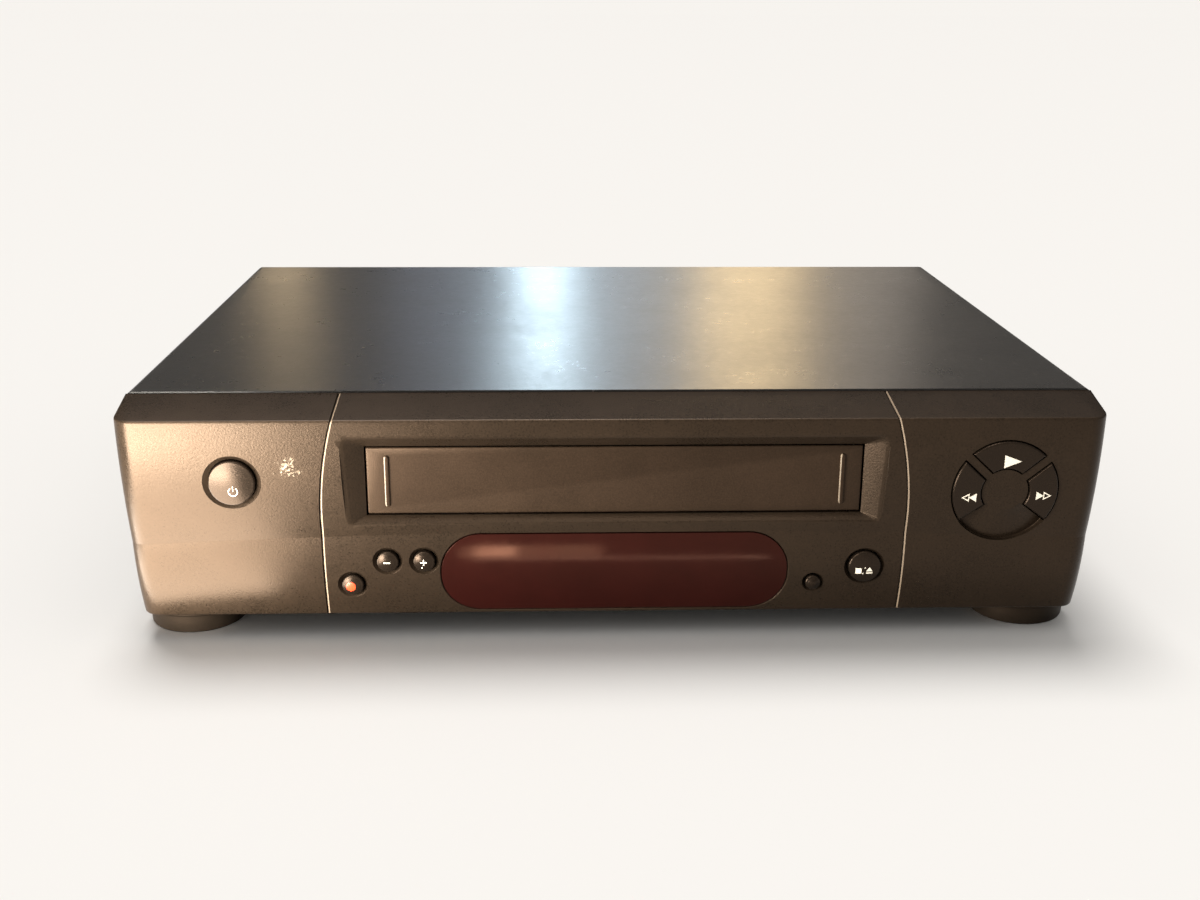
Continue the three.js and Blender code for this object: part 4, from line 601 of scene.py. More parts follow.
def sector_outline(outer, steps, *limits):
    """The outline of a sector of the ring, out along one arc and back along the hub."""
    outline = []
    for r, forward in ((outer, True), (hub_radius, False)):
        low, high = sector_limits(r, *limits)
        angles = [radians(low + (high - low) * i / steps) for i in range(steps + 1)]
        for angle in angles if forward else angles[::-1]:
            outline.append((ring_x + r * cos(angle), ring_z + r * sin(angle)))
    return outline


def scoop_cutter():
    """The finger scoop under the hub, which falls away towards the ring's outer edge."""
    rings = []
    for i in range(41):
        angle = radians(scoop_from + scoop_sweep * i / 40)
        run = [(hub_radius - 1, -0.28), (hub_radius - 0.4, -0.1), (hub_radius, 0.02),
               (hub_radius + 0.5, 0.16)]
        run += [(hub_radius + 12 * t, 3.4 * t ** 0.9) for t in (0.1, 0.25, 0.4, 0.55, 0.7, 0.85, 0.95)]
        run += [(ring_radius - 0.2, 3.4), (ring_radius, 3.1), (ring_radius + 0.1, 0.3),
                (ring_radius + 0.6, -1.6), (ring_radius + 0.6, -6), (hub_radius - 1, -6)]
        rings.append([(ring_x + r * cos(angle), scoop_depth + sink, ring_z + r * sin(angle))
                      for r, sink in run])
    return loft("scoop", rings)


def window_outline(gap):
    """The display window's outline, grown by a gap."""
    return rounded_outline(-67.8 - gap, 12.3 - gap, 67.8 + gap, 45.5 + gap, 15.6 + gap, 14)


def window_cutter():
    """The window's opening, with a small flare where it meets the face."""
    rings = [[(x, -15, z) for x, z in window_outline(0.3)]]
    for gap, lift in ((0.3, 0.5), (0.4, 0.2), (0.7, 0.0), (1.0, -0.3)):
        rings.append([(x, face_depth(x, z) + lift, z) for x, z in window_outline(gap)])
    rings.append([(x, -30, z) for x, z in window_outline(1.0)])
    return loft("window opening", rings)


round_buttons = {
    "standby": (-145.6, 68.1, 8.8, 10.6),
    "record": (-102.5, 24.4, 4.2, 5.4),
    "programme_down": (-88.5, 34.5, 4.2, 5.4),
    "programme_up": (-74.4, 34.5, 4.2, 5.4),
    "install": (78.4, 23.8, 3.0, 3.8),
    "stop": (98.4, 30.8, 6.4, 7.5),
}
ring_buttons = {
    "play": (40, 137, 1.5, 1.5),
    "rewind": (137, 217, 1.5, 0.0),
    "forward": (-37, 40, 0.0, 1.5),
}
panel = panel_solid("front_panel_moulding", 0, -0.3)
inner = panel_solid("inside", 2.5, 1.0, fine=False)
surround_heights = [45 + 43.3 * i / 12 for i in range(13)]
surround = loft("surround", [[(x, face_depth(x, z) + 1, z) for z in surround_heights]
                             + [(x, -18.6, 88.3), (x, -18.6, 45)] for x in [21.3 * i for i in range(-5, 6)]])
tongue = solid("tongue", *box_shell(-178, 178, -2.5, 5, 93.7, 95.7))
ears = [solid("ear", *box_shell(min(a, b), max(a, b), -19.6, -13.75, 77.9, 86.9))
        for a, b in ((96.4, 99.4), (-96.4, -99.4))]
bosses = []
for side in (-1, 1):
    for x, z in ((168, 24), (118, 80)):
        boss_end = -face_depth(x, z) - 1.25
        bosses.append(turned("boss", [(0, 9.3), (2.6, 9.3), (2.6, boss_end), (0, boss_end)],
                             (side * x, 0, z), axis="y", sides=20))
back_rings = []
for i in range(15):
    angle = radians(scoop_from + scoop_sweep * i / 14)
    back_rings.append([(ring_x + r * cos(angle), scoop_depth + sink, ring_z + r * sin(angle))
                       for r, sink in ((hub_radius - 1, 1.25), (flange_radius, 1.25),
                                       (flange_radius, 5), (hub_radius - 1, 5))])
scoop_back = loft("scoop back", back_rings)
pin_hole = turned("pin hole", [(0, -103.5), (1.4, -103.5), (1.4, 103.5), (0, 103.5)],
                  hinge, axis="x", sides=16)
opening = solid("opening", *box_shell(-opening_half, opening_half, -25, -11, opening_low, opening_high))
dishes = [tool for values in round_buttons.values() for tool in dish_cutter(*values)]
sectors = [slab("sector", sector_outline(ring_radius, 36, *limits), (-30, -16))
           for limits in ring_buttons.values()]
shaped(panel,
       ("DIFFERENCE", [inner]),
       ("UNION", [surround, tongue, *ears, *bosses, scoop_back]),
       ("DIFFERENCE", [bay_funnel(), opening, pin_hole, window_cutter(), *sectors, *dishes, scoop_cutter(),
                       groove_cutter(-1), groove_cutter(1)]))

panel_abs, panel_shader = new_finish(
    "black ABS, satin grain", "#1c150e", 0.3, ior=1.52, level=0.24, tint="#ffdcbe")
where, tone = moulded(panel_abs, panel_shader, "#15100b", "#231b14", 0.7, 0.06, 0.25, 0.36, edge_mm=0.12)
scuff_place = place(-124.0, -27.0, 73.5)
apart = node(panel_abs, "ShaderNodeVectorMath", {
    0: where.outputs["Object"], 1: scuff_place}, operation="DISTANCE")
near_scuff = node(panel_abs, "ShaderNodeMapRange", {
    "Value": apart.outputs["Value"], "From Min": 0.002, "From Max": 0.012, "To Min": 0.31, "To Max": 0.0})
chips = node(panel_abs, "ShaderNodeTexNoise", {
    "Vector": where.outputs["Object"], "Scale": repeats(2.6), "Detail": 6.0, "Roughness": 0.75,
    "Distortion": 1.2})
chipped = node(panel_abs, "ShaderNodeMath", {
    0: chips.outputs["Fac"], 1: near_scuff.outputs["Result"]}, operation="ADD")
shown = node(panel_abs, "ShaderNodeMapRange", {
    "Value": chipped.outputs["Value"], "From Min": 0.8, "From Max": 0.88, "To Min": 0.0, "To Max": 1.0})
scuffed = node(panel_abs, "ShaderNodeMix", {
    0: shown.outputs["Result"], 6: tone.outputs[2], 7: srgb("#857a6a")}, data_type="RGBA")
feed(panel_shader, {"Base Color": scuffed.outputs[2]})
# Pick the groove chamfers that face left, towards the lamps. They get the painted highlight below.
in_grooves = []
for face in panel.data.polygons:
    x, depth, z = face.center
    if abs(abs(x) - groove_at(z)) < 1.1 and depth < 0 and z > 11 and -0.7 < face.normal.x < -0.25:
        in_grooves.append(face.index)
# The chamfers along the grooves' right edges face the lamps at the left. Their pale colour is a painted
# highlight, with some dust in it, so they show as dull pale lines.
groove_dust_and_highlight, groove_highlight_shader = new_finish("black ABS with pale dust in the groove", "#6b5c4c", 0.7, ior=1.5)
mottled(groove_dust_and_highlight, groove_highlight_shader, "#5f5142", "#7d6c59", 5, 5.0, contrast=0.7)
finished(panel, [panel_abs, groove_dust_and_highlight], "case", ["front_panel"])
for index in in_grooves:
    panel.data.polygons[index].material_index = 1


# Display window.
# A lens of smoked red-brown acrylic lies flush in the lower lobe, in front of the display tube's glass.
# It is polished, so its rim catches a thin bright line, and it passes only a little light.
lens = panel_solid("display_lens", 0, 0.0)
lens_inner = panel_solid("lens inside", 2.4, 1.0, fine=False)
lens_edge = slab("lens edge", window_outline(0), (-30, -16))
shaped(lens, ("DIFFERENCE", [lens_inner]), ("INTERSECT", [lens_edge]))
smoked_acrylic, acrylic_shader = new_finish(
    "smoked acrylic, polished", "#150504", 0.08, ior=1.49, level=0.2, tint="#ffc0a4")
acrylic_shader.inputs["Transmission Weight"].default_value = 0.1
where = node(smoked_acrylic, "ShaderNodeTexCoord")
haze = node(smoked_acrylic, "ShaderNodeTexNoise", {
    "Vector": where.outputs["Object"], "Scale": repeats(24), "Detail": 9.0, "Roughness": 0.7})
gloss = node(smoked_acrylic, "ShaderNodeMapRange", {
    "Value": haze.outputs["Fac"], "From Min": 0.3, "From Max": 0.7, "To Min": 0.1, "To Max": 0.17})
tone = node(smoked_acrylic, "ShaderNodeMix", {
    0: haze.outputs["Fac"], 6: srgb("#120403"), 7: srgb("#250a08")}, data_type="RGBA")
softened = node(smoked_acrylic, "ShaderNodeBevel", {"Radius": 0.0004}, samples=4)
# Rubbing has left the lens slightly hazy. Real marks are finer, and are drawn so coarse that they show.
rubs = node(smoked_acrylic, "ShaderNodeTexNoise", {
    "Vector": where.outputs["Object"], "Scale": repeats(0.9), "Detail": 3.0, "Roughness": 0.7})
fine_rubs = node(smoked_acrylic, "ShaderNodeBump", {
    "Height": rubs.outputs["Fac"], "Distance": 0.000012, "Strength": 1.0,
    "Normal": softened.outputs["Normal"]})
feed(acrylic_shader, {"Base Color": tone.outputs[2], "Roughness": gloss.outputs["Result"],
                      "Normal": fine_rubs.outputs["Normal"]})
finished(lens, [smoked_acrylic], "case", ["display_window"])
# The tube's glass is dark green and mirrors sharply.
tube_glass, glass_shader = new_finish("display tube glass, dark", "#1c2a26", 0.06, ior=1.5)
mottled(tube_glass, glass_shader, "#17231f", "#22332d", 30, 3.0)
dress(tube_glass, "display_tube")


# Tape bay door.
# A flat flap of black ABS with two raised ribs, which swings up and in on pins at its top corners.
# Its face is finer and duller than the panel's, and its lower and left rims show as thin bright lines.
door_abs, door_shader = new_finish(
    "black ABS, fine matt", "#1d1610", 0.38, ior=1.52, level=0.22, tint="#ffd8b8")
moulded(door_abs, door_shader, "#1b140e", "#291f17", 0.6, 0.05, 0.34, 0.43, edge_mm=0.15)
door = rounded_block("tape_bay_door", -95.5, 95.5, door_front, -18.2, 53.2, 80, radius=0.55, segments=3)
rib_half, rib_half_height, rib_middle = 0.9, 10.2, 66.5
parts = []
for side in (-1, 1):
    rib_x = side * 87.8
    rib = rounded_outline(rib_x - rib_half, 56.3, rib_x + rib_half, 76.7, 0.88, 6)
    rings = []
    for depth, shrink in ((-19.2, 0), (-20.5, 0), (-20.7, 0.12), (-20.8, 0.4)):
        rings.append([(rib_x + (x - rib_x) * (1 - shrink / rib_half), depth,
                       rib_middle + (z - rib_middle) * (1 - shrink / rib_half_height)) for x, z in rib])
    parts.append(loft("rib", rings))
    inner_x, outer_x = side * 94.0, side * 95.5
    low, high = min(inner_x, outer_x), max(inner_x, outer_x)
    parts.append(solid("ear", *box_shell(low, high, -19.1, -14.4, 72, 79.9)))
    parts.append(solid("ear", *box_shell(low, high, -17.6, -14.4, 79.5, 82.4)))
    parts.append(turned("boss", [(0, low), (1.6, low), (1.6, high), (0, high)], hinge, axis="x", sides=24))
    reach = outer_x + side * (12.4 if side < 0 else 5)
    ends = sorted((outer_x - side * 0.75, reach))
    parts.append(turned("pin", [(0, ends[0]), (1.1, ends[0]), (1.1, ends[1]), (0, ends[1])],
                        hinge, axis="x", sides=20))
shaped(door, ("UNION", parts))
# Pick the ribs' left flanks, which face the lamps, for the painted highlight.
on_ribs = [face.index for face in door.data.polygons
           if face.center.y < door_front - 0.2 and face.normal.x < -0.2]
# The ribs' left flanks face the lamps, and are painted pale: a painted highlight.
rib_flank_highlight, rib_highlight_shader = new_finish("black ABS, painted highlight on the ribs' left flanks", "#6e6051", 0.4, ior=1.52)
moulded(rib_flank_highlight, rib_highlight_shader, "#5c5043", "#83735f", 1.2, 0.01, 0.36, 0.5, edge_mm=0.3)
finished(door, [door_abs, rib_flank_highlight], "door", ["cassette_door"])
for index in on_ribs:
    door.data.polygons[index].material_index = 1


# Buttons.
# Round caps with domed faces stand in shallow dishes, and three sector keys make a ring round a fixed hub.
# They are satin black ABS on stems that press the key board's switches. Their signs are pad printed.
button_abs, button_shader = new_finish(
    "black ABS, satin cap", "#120e0a", 0.26, ior=1.52, level=0.24, tint="#ffddc2")
moulded(button_abs, button_shader, "#0e0b08", "#17110c", 0.6, 0.03, 0.22, 0.3, edge_mm=0.25)
cap_round = 0.7
ring_sink = 0.9
stem_radius, stem_end = 1.5, 13.3
ink_proud, ink_buried = 0.035, 0.12


def cap_height(r, radius):
    """How far a round cap stands out of the face at a distance from its middle."""
    shoulder = radius - cap_round
    if r <= shoulder:
        return 1.0 + 0.77 * (1 - (r / shoulder) ** 2)
    return 0.3 + sqrt(max(0.0, cap_round ** 2 - (r - shoulder) ** 2))


def grid(rows, columns, base=0):
    """The faces of a grid of points, row by row, and the run of points round its rim."""
    cells = [(base + k * columns + i, base + k * columns + i + 1,
              base + (k + 1) * columns + i + 1, base + (k + 1) * columns + i)
             for k in range(rows - 1) for i in range(columns - 1)]
    rim = [base + i for i in range(columns)] + [base + k * columns + columns - 1 for k in range(1, rows)]
    rim += [base + (rows - 1) * columns + i for i in range(columns - 2, -1, -1)]
    rim += [base + k * columns for k in range(rows - 2, 0, -1)]
    return cells, rim


def printed(name, strips, depth_at, body, colour):
    """Pad printed ink. Each strip runs between two rows of (x, height) points, just proud of the surface."""
    points, faces, rows = [], [], 7
    for low, high in strips:
        base, count = len(points), len(low)
        for lift in (-ink_proud, ink_buried):
            for k in range(rows):
                for (x0, z0), (x1, z1) in zip(low, high):
                    x, z = x0 + (x1 - x0) * k / (rows - 1), z0 + (z1 - z0) * k / (rows - 1)
                    points.append((x, depth_at(x, z) + lift, z))
        under = rows * count
        cells, rim = grid(rows, count, base)
        faces += cells + [tuple(c + under for c in cell[::-1]) for cell in cells]
        faces += [(a, a + under, b + under, b) for a, b in zip(rim, rim[1:] + rim[:1])]
    return finished(solid(name, points, faces), [colour], body)


def bar(x0, z0, x1, z1):
    """A straight-sided patch of ink between two corners."""
    steps = max(2, int(abs(x1 - x0) / 0.5) + 1)
    xs = [x0 + (x1 - x0) * i / (steps - 1) for i in range(steps)]
    return [(x, z0) for x in xs], [(x, z1) for x in xs]


def arrow(tip_x, base_x, z, half, steps=8):
    """A filled triangle that points along x."""
    rows = [(base_x + (tip_x - base_x) * i / steps, half * (1 - i / steps)) for i in range(steps + 1)]
    return [(x, z - max(h, 0.02)) for x, h in rows], [(x, z + max(h, 0.02)) for x, h in rows]


def arrow_outline(tip_x, base_x, z, half, width):
    """The outline of a triangle that points along x, as three strokes."""
    inward = width if tip_x < base_x else -width
    corners = [(base_x, z + half), (tip_x, z), (base_x, z - half)]
    inner = [(base_x - inward, z + half - 2.1 * width), (tip_x + 2.2 * inward, z),
             (base_x - inward, z - half + 2.1 * width)]
    return [([corners[i], corners[(i + 1) % 3]], [inner[i], inner[(i + 1) % 3]]) for i in range(3)]


def ring_stroke(x, z, radius, width, start, stop, steps=24):
    """Part of a circle as one stroke of ink."""
    angles = [radians(start + (stop - start) * i / steps) for i in range(steps + 1)]
    return tuple([(x + r * cos(a), z + r * sin(a)) for a in angles]
                 for r in (radius - width / 2, radius + width / 2))


# The inks are even with faint thin spots, which are drawn coarser than real so that they show.
white_ink, ink_shader = new_finish("white pad printing ink", "#ddd6c6", 0.5, ior=1.5)
mottled(white_ink, ink_shader, "#cdc5b3", "#e8e1d2", 0.8, 3.0)
red_ink, red_shader = new_finish("red lacquer spot", "#e0391a", 0.32, ior=1.5)
mottled(red_ink, red_shader, "#d23416", "#e8451f", 1.2, 3.0)

signs = {
    "standby": [ring_stroke(-145.0, 65.0, 1.7, 0.26, 125, 415), bar(-145.13, 65.2, -144.87, 67.2)],
    "programme_down": [bar(-90.0, 34.25, -87.4, 34.65)],
    "programme_up": [bar(-75.8, 34.25, -73.2, 34.65), bar(-74.7, 33.2, -74.3, 35.7),
                     ring_stroke(-75.2, 32.2, 0.15, 0.26, 0, 360, 8)],
    "stop": [bar(94.7, 28.2, 97.0, 30.5),
             ([(97.4, 28.0), (98.3, 31.0)], [(97.75, 28.0), (98.65, 31.0)]),
             ([(98.9 + 0.25 * i, 29.2) for i in range(11)],
              [(98.9 + 0.25 * i, 29.22 + 1.75 * (1 - abs(i - 5) / 5)) for i in range(11)]),
             bar(98.9, 28.2, 101.4, 28.75)],
}
for name, (x, z, radius, _) in round_buttons.items():
    depth = face_depth(x, z)
    profile = [(0, stem_end), (stem_radius, stem_end), (stem_radius, -flange_rear),
               (radius + 1.2, -flange_rear), (radius + 1.2, -flange_front), (radius, -flange_front)]
    profile = [(r, h + depth) for r, h in profile]
    profile += [(radius, 0.3)] + [(radius - cap_round + cap_round * cos(radians(a)),
                                   0.3 + cap_round * sin(radians(a))) for a in (15, 30, 45, 60, 75)]
    profile += [(r, cap_height(r, radius)) for r in [(radius - cap_round) * (1 - i / 8) for i in range(9)]]
    cap = turned(f"{name}_cap", profile, (x, depth, z), axis="y", sides=72)
    finished(cap, [button_abs], f"{name}_key", [f"{name}_button"])
    if name in signs:
        printed(f"{name}_sign", signs[name],
                lambda px, pz: depth - cap_height(hypot(px - x, pz - z), radius), f"{name}_key", white_ink)
x, z, radius, _ = round_buttons["record"]
spot_x, spot_z, spot_radius = -103.2, 24.1, 1.9
spot = ([], [])
for i in range(25):
    angle = pi * (i / 24 - 0.5)
    half = max(0.02, spot_radius * cos(angle))
    spot[0].append((spot_x + spot_radius * sin(angle), spot_z - half))
    spot[1].append((spot_x + spot_radius * sin(angle), spot_z + half))
printed("record_sign", [spot], lambda px, pz: face_depth(x, z) - cap_height(hypot(px - x, pz - z), radius),
        "record_key", red_ink)


def border_run(length, reach):
    """Places from 0 to a length, close together at both ends where the edge is rounded."""
    near = [0, 0.06, 0.16, 0.3, 0.5, 0.75]
    steps = max(2, int((length - 1.5) / reach))
    middle = [0.75 + (length - 1.5) * i / steps for i in range(1, steps)]
    return near + middle + [length - d for d in near[::-1]]


ring_gap = 0.5
ring_middle = (ring_radius + hub_radius) / 2
for name, (start, stop, start_half, stop_half) in ring_buttons.items():
    inner_r, outer_r = hub_radius + ring_gap, ring_radius - ring_gap
    radii = [inner_r + d for d in border_run(outer_r - inner_r, 1.4)]
    span = sector_limits(ring_middle, start, stop, start_half + ring_gap, stop_half + ring_gap)
    arc_length = radians(span[1] - span[0]) * ring_middle
    shares = [d / arc_length for d in border_run(arc_length, 1.2)]
    points, rows, columns = [], len(radii), len(shares)
    for r in radii:
        low, high = sector_limits(r, start, stop, start_half + ring_gap, stop_half + ring_gap)
        for share in shares:
            angle = radians(low + (high - low) * share)
            x, z = ring_x + r * cos(angle), ring_z + r * sin(angle)
            edge = min(r - inner_r, outer_r - r, share * arc_length, (1 - share) * arc_length)
            drop = cap_round - sqrt(max(0.0, cap_round ** 2 - (cap_round - min(edge, cap_round)) ** 2))
            points.append((x, face_depth(x, z) - ring_sink + drop, z))
    faces, rim = grid(rows, columns)
    base = len(points)
    points += [(points[k][0], -17.0, points[k][2]) for k in rim]
    faces += [(rim[k], rim[(k + 1) % len(rim)], base + (k + 1) % len(rim), base + k) for k in range(len(rim))]
    faces.append(tuple(range(base, base + len(rim))))
    key = solid(f"{name}_cap", points, faces)
    flange = sector_outline(flange_radius, 20, start, stop, start_half, stop_half)
    plate = slab("flange", flange, (flange_front, flange_rear))
    middle = radians((start + stop) / 2)
    stem = turned("stem", [(0, stem_end), (stem_radius, stem_end), (stem_radius, 16.6), (0, 16.6)],
                  (ring_x + ring_middle * cos(middle), 0, ring_z + ring_middle * sin(middle)),
                  axis="y", sides=20)
    shaped(key, ("UNION", [plate, stem]))
    finished(key, [button_abs], f"{name}_key", [f"{name}_button"])


def ring_face(x, z):
    """How far behind the cover's front edge a ring button's face lies."""
    return face_depth(x, z) - ring_sink


printed("play_sign", [arrow(155.5, 148.9, 75.2, 2.6)], ring_face, "play_key", white_ink)
printed("rewind_sign", arrow_outline(133.5, 136.6, 60.4, 1.7, 0.34) + [arrow(136.5, 139.4, 60.4, 1.75)],
        ring_face, "rewind_key", white_ink)
printed("forward_sign", [arrow(165.5, 162.7, 61.0, 1.75)] + arrow_outline(168.6, 165.5, 61.0, 1.7, 0.34),
        ring_face, "forward_key", white_ink)


# Top cover.
# A folded sheet of steel in near-black stove paint closes the top, both sides and the rear edge.
# The paint is smooth with faint streaks, rubbed spots and dust, so a lamp behind it is a long soft band.
cover_depth, cover_top, cover_low = 261.0, 97.0, 13.0
cover_bend = 3


def dent(x, depth):
    """How far the sheet sags below flat, in millimetres."""
    edge = min(1.0, (half_width - abs(x)) / 25, depth / 18, (cover_depth - depth) / 18)
    wave = sin(x / 47 + 0.6) * sin(depth / 61 + 1.1) + 0.5 * sin(x / 23 + depth / 31)
    return max(0.0, edge) * (0.10 + 0.06 * wave)


def cover_ring(inset, depth, low, steps):
    """The cover's outline at one depth, drawn in by the inset."""
    side, top, bend = half_width - inset, cover_top - inset, cover_bend - inset
    quarter = [radians(a) for a in range(0, 91, 10)]
    ring = [(side, low), (side, 40), (side, 70)]
    ring += [(side - bend + bend * cos(a), top - bend + bend * sin(a)) for a in quarter]
    count = int(2 * (side - bend) / steps)
    ring += [(side - bend - 2 * (side - bend) * i / count, top) for i in range(1, count)]
    ring += [(-side + bend - bend * sin(a), top - bend + bend * cos(a)) for a in quarter]
    ring += [(-side, 70), (-side, 40), (-side, low)]
    return [(x, depth, z - (dent(x, depth) if z > top - 0.01 else 0)) for x, z in ring]


depths = [0, 0.5] + [6 * i for i in range(1, 43)] + [256, 260.4, cover_depth]
cover = loft("cover_sheet", [cover_ring(0, d, cover_low, 6) for d in depths])
hollow = loft("hollow", [cover_ring(1, d, cover_low - 1, 24) for d in (-1, 60, 130, 200, cover_depth - 1)])
rear_cut = solid("rear cut", *box_shell(-189, 189, cover_depth - 2, cover_depth + 1, cover_low - 1, 85))
screw_places = (-150, -60, 60, 150)
screw_height = 91
holes = [turned("hole", [(0, -265), (1.8, -265), (1.8, -258), (0, -258)],
                (x, 0, screw_height), axis="y", sides=20) for x in screw_places]
shaped(cover, ("DIFFERENCE", [hollow, rear_cut, *holes]))

stove_paint, paint_shader = new_finish("near-black stove paint, semi gloss", "#2a2826", 0.3, ior=1.5)
where = node(stove_paint, "ShaderNodeTexCoord")
# Real spray grain is finer than 0.9 mm, and is drawn so coarse that it shows.
spray = node(stove_paint, "ShaderNodeTexNoise", {
    "Vector": where.outputs["Object"], "Scale": repeats(0.9), "Detail": 3.0})
streaks = node(stove_paint, "ShaderNodeTexNoise", {
    "Vector": where.outputs["Object"], "Scale": repeats(3.5), "Detail": 6.0, "Roughness": 0.65})
rubbed = node(stove_paint, "ShaderNodeTexNoise", {
    "Vector": where.outputs["Object"], "Scale": repeats(30), "Detail": 6.0, "Roughness": 0.68})
dust = node(stove_paint, "ShaderNodeTexNoise", {
    "Vector": where.outputs["Object"], "Scale": repeats(1.5), "Detail": 2.0, "Roughness": 0.5})
specks = node(stove_paint, "ShaderNodeMapRange", {
    "Value": dust.outputs["Fac"], "From Min": 0.71, "From Max": 0.77, "To Min": 0.0, "To Max": 0.5})
tone = node(stove_paint, "ShaderNodeMix", {
    0: rubbed.outputs["Fac"], 6: srgb("#262422"), 7: srgb("#302d2a")}, data_type="RGBA")
dusty = node(stove_paint, "ShaderNodeMix", {
    0: specks.outputs["Result"], 6: tone.outputs[2], 7: srgb("#77716a")}, data_type="RGBA")
mixed = node(stove_paint, "ShaderNodeMath", {
    0: streaks.outputs["Fac"], 1: rubbed.outputs["Fac"]}, operation="ADD")
gloss = node(stove_paint, "ShaderNodeMapRange", {
    "Value": mixed.outputs["Value"], "From Min": 0.75, "From Max": 1.25, "To Min": 0.27, "To Max": 0.32})
softened = node(stove_paint, "ShaderNodeBevel", {"Radius": 0.0003}, samples=4)
skin = node(stove_paint, "ShaderNodeBump", {
    "Height": spray.outputs["Fac"], "Distance": 0.00004, "Strength": 1.0,
    "Normal": softened.outputs["Normal"]})
feed(paint_shader, {"Base Color": dusty.outputs[2], "Roughness": gloss.outputs["Result"],
                    "Normal": skin.outputs["Normal"]})
finished(cover, [stove_paint], "case", ["top_cover"])


# Cover screws.
# Four pan-headed screws with a cross recess, cold formed from bright steel, hold the cover's rear edge.
# Each shows a pale domed head with a dark cross.
head_from = cover_depth + 0.3
pan = [(0, -head_from + 7), (1.5, -head_from + 7), (1.5, -head_from - 0.2), (3.1, -head_from),
       (3.1, -head_from - 0.9), (2.8, -head_from - 1.5), (2.1, -head_from - 1.85), (0, -head_from - 2)]
for number, x in enumerate(screw_places):
    screw = turned(f"cover_screw_{number + 1}_head", pan, (x, 0, screw_height), axis="y", sides=32)
    cross = [solid("slot", *box_shell(x - w, x + w, head_from + 1.0, head_from + 3,
                                      screw_height - h, screw_height + h))
             for w, h in ((1.5, 0.35), (0.35, 1.5))]
    shaped(screw, ("DIFFERENCE", cross))
    finished(screw, [bright_steel], "case", [f"cover_screw_{number + 1}"])


# Studio.
# A plain pale floor under a broad light, with panels behind whose long reflections lie on the cover.
# The panel's left half mirrors two bright patches at floor level, and the lens mirrors three small low ones.
# Most lamps light only the pieces that show them, so the floor stays plain.
floor_reach = 300000
floor_line = ((-floor_reach, 0), (20000, 0), (floor_reach, 9000))
floor = solid("floor", [(x, y, z) for y, z in floor_line for x in (-floor_reach, floor_reach)],
              [(0, 1, 3, 2), (2, 3, 5, 4)])
floor.data.transform(Matrix.Scale(0.001, 4))
floor_paint, _ = new_finish("pale floor, matt", "#ecebe9", 0.9, level=0.1)
floor.data.materials.append(floor_paint)

world = bpy.data.worlds.new("studio air")
bpy.context.scene.world = world
world.use_nodes = True
air = world.node_tree.nodes["Background"]
way = node(world, "ShaderNodeTexCoord")
parts = node(world, "ShaderNodeSeparateXYZ", {"Vector": way.outputs["Generated"]})
behind = node(world, "ShaderNodeMapRange", {
    "Value": parts.outputs["Y"], "From Min": -0.3, "From Max": 0.5, "To Min": 0.45, "To Max": 0.1})
overhead = node(world, "ShaderNodeMapRange", {
    "Value": parts.outputs["Z"], "From Min": 0.55, "From Max": 0.95, "To Min": 0.0, "To Max": 1.0})
blended = node(world, "ShaderNodeMix", {0: overhead.outputs["Result"], 2: behind.outputs["Result"], 3: 0.8})
feed(air, {"Strength": blended.outputs[0]})
air.inputs["Color"].default_value = srgb("#fffdfa")

sun_data = bpy.data.lights.new("ceiling light", "SUN")
sun_data.energy = 2.1
sun_data.angle = radians(30)
sun_data.color = srgb("#fffcf9")[:3]
sun = bpy.data.objects.new("ceiling light", sun_data)
sun.rotation_euler = Vector((0.12, -0.32, -1.0)).to_track_quat("-Z", "Y").to_euler()
bpy.context.scene.collection.objects.link(sun)

pieces, below_cover, front_pieces, lens_alone, cover_alone = (
    bpy.data.collections.new(name) for name in ("pieces", "below the cover", "front pieces", "lens", "cover"))
lens_alone.objects.link(lens)
cover_alone.objects.link(cover)
for made in bpy.context.scene.objects:
    if made.type == "MESH" and made is not floor and made.name not in frame["nodes"]:
        pieces.objects.link(made)
        if made is not cover:
            below_cover.objects.link(made)
            if not made.name.startswith("foot"):
                front_pieces.objects.link(made)


def lamp_panel(name, centre, target, width, height, brightness, colour, lights):
    """A square-edged soft lamp that lights one group of pieces. Lit white paper has a brightness of 1."""
    data = bpy.data.lights.new(name, "AREA")
    data.shape = "RECTANGLE"
    data.size, data.size_y = width * 0.001, height * 0.001
    data.energy = brightness * pi * data.size * data.size_y
    data.color = srgb(colour)[:3]
    made = bpy.data.objects.new(name, data)
    made.location = place(*centre)
    made.rotation_euler = (place(*target) - place(*centre)).to_track_quat("-Z", "Y").to_euler()
    made.visible_camera = False
    made.light_linking.receiver_collection = lights
    bpy.context.scene.collection.objects.link(made)


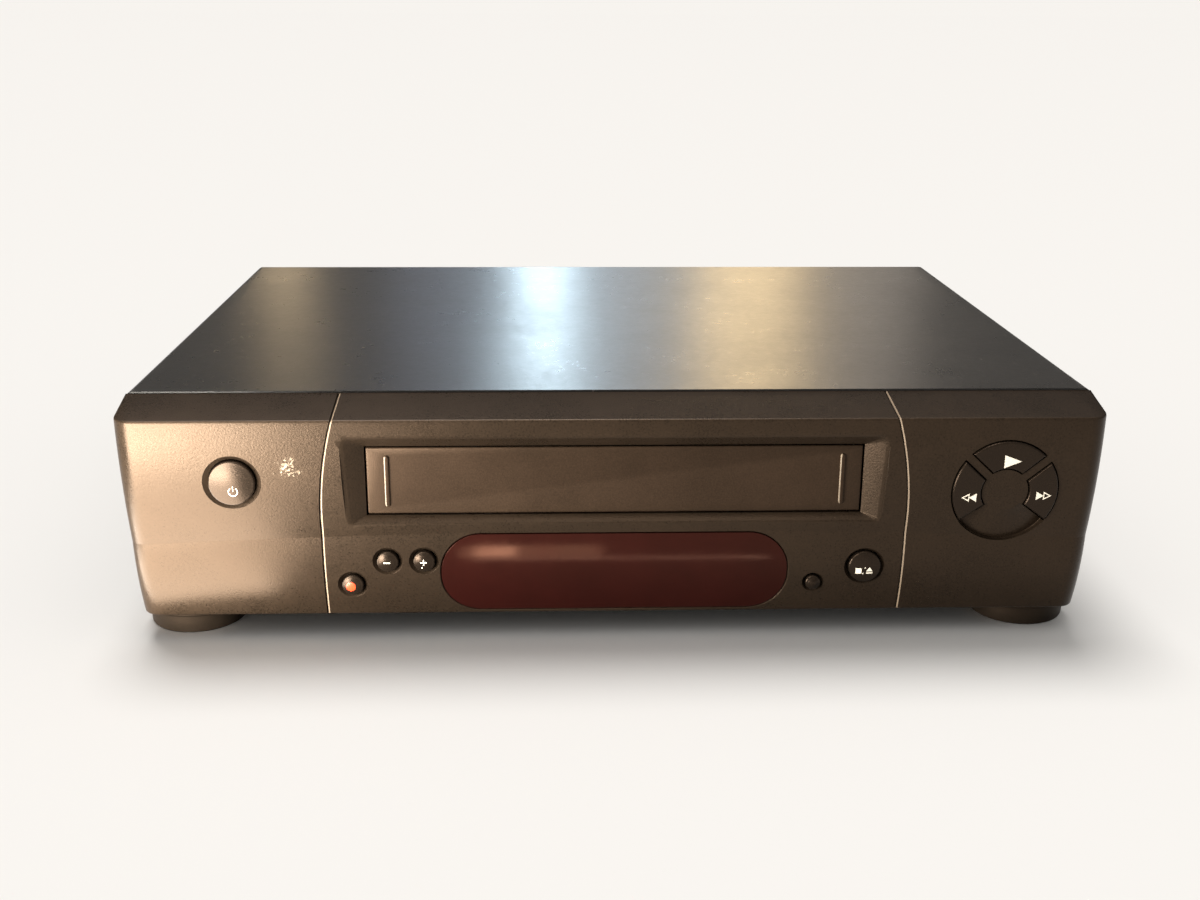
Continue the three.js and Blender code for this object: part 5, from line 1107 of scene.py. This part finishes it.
middle = (0, 130, 97)
straight_up = 10000
lamp_panel("blue panel behind", (-34, 2000, 610), middle, 92, 520, 11.5, "#d9f2ff", cover_alone)
lamp_panel("blue veil behind", (-70, 2000, 610), middle, 480, 520, 0.5, "#d6e2ff", cover_alone)
lamp_panel("grey panel behind", (160, 2000, 610), middle, 190, 520, 1.4, "#eef3f4", cover_alone)
lamp_panel("yellow panel behind", (340, 2000, 610), middle, 190, 520, 4.8, "#ffe0ae", pieces)
lamp_panel("warm veil behind", (545, 2000, 610), middle, 190, 520, 1.0, "#fff0e0", pieces)
lamp_panel("warm panel behind", (-505, 2000, 410), middle, 90, 110, 7.0, "#ffdfb0", pieces)
lamp_panel("far glow on the floor", (-298, -475, 2), (-296.1, -465.2, straight_up),
           149, 592, 28.0, "#fff6e8", front_pieces)
lamp_panel("near glow on the floor", (-226, -106, 2), (-224.1, -96.2, straight_up),
           149, 161, 26.0, "#fff6e8", front_pieces)
lamp_panel("key at the left", (-262, -210, 75), (-150, -25, 50), 150, 130, 60.0, "#fffaf0", below_cover)
lamp_panel("high fill at the left", (-330, -360, 500), (-20, -25, 60),
           300, 300, 13.0, "#fff6ea", front_pieces)
lamp_panel("ceiling panel", (0, -60, 1500), (0, -25, 60), 420, 420, 11.0, "#fff4e6", pieces)
lamp_panel("warm glow low in front", (-50, -103, 1), (-50, -103, 10), 18, 27, 20.0, "#fff0dc", lens_alone)
lamp_panel("warm veil low in front", (-34, -103, 1), (-34, -103, 10), 64, 31, 4.5, "#fff0dc", lens_alone)
lamp_panel("thin line low in front", (6, -84, 1), (6, -84, 10), 130, 1.4, 20.0, "#fff4ea", lens_alone)

camera_data = bpy.data.cameras.new("camera")
camera_data.lens, camera_data.sensor_width = 42.0, 36.0
camera_data.clip_start, camera_data.clip_end = 0.01, 1000.0
camera = bpy.data.objects.new("camera", camera_data)
pitch, yaw, roll = radians(17.99), radians(-2.13), radians(0.36)
level = Matrix(((1, 0, 0), (0, 0, -1), (0, 1, 0)))
heading = Matrix(((cos(yaw), sin(yaw), 0), (-sin(yaw), cos(yaw), 0), (0, 0, 1)))
tipped = Matrix(((1, 0, 0), (0, cos(pitch), -sin(pitch)), (0, sin(pitch), cos(pitch))))
rolled_by = Matrix(((cos(roll), -sin(roll), 0), (sin(roll), cos(roll), 0), (0, 0, 1)))
right, down, forward = rolled_by @ tipped @ level @ heading
turn = Matrix((right, -down, -forward)).transposed()
camera.matrix_world = Matrix.Translation((-0.02506, -0.64996, 0.24423)) @ turn.to_4x4()
bpy.context.scene.collection.objects.link(camera)
bpy.context.scene.camera = camera
bpy.context.scene.view_settings.view_transform = "Standard"
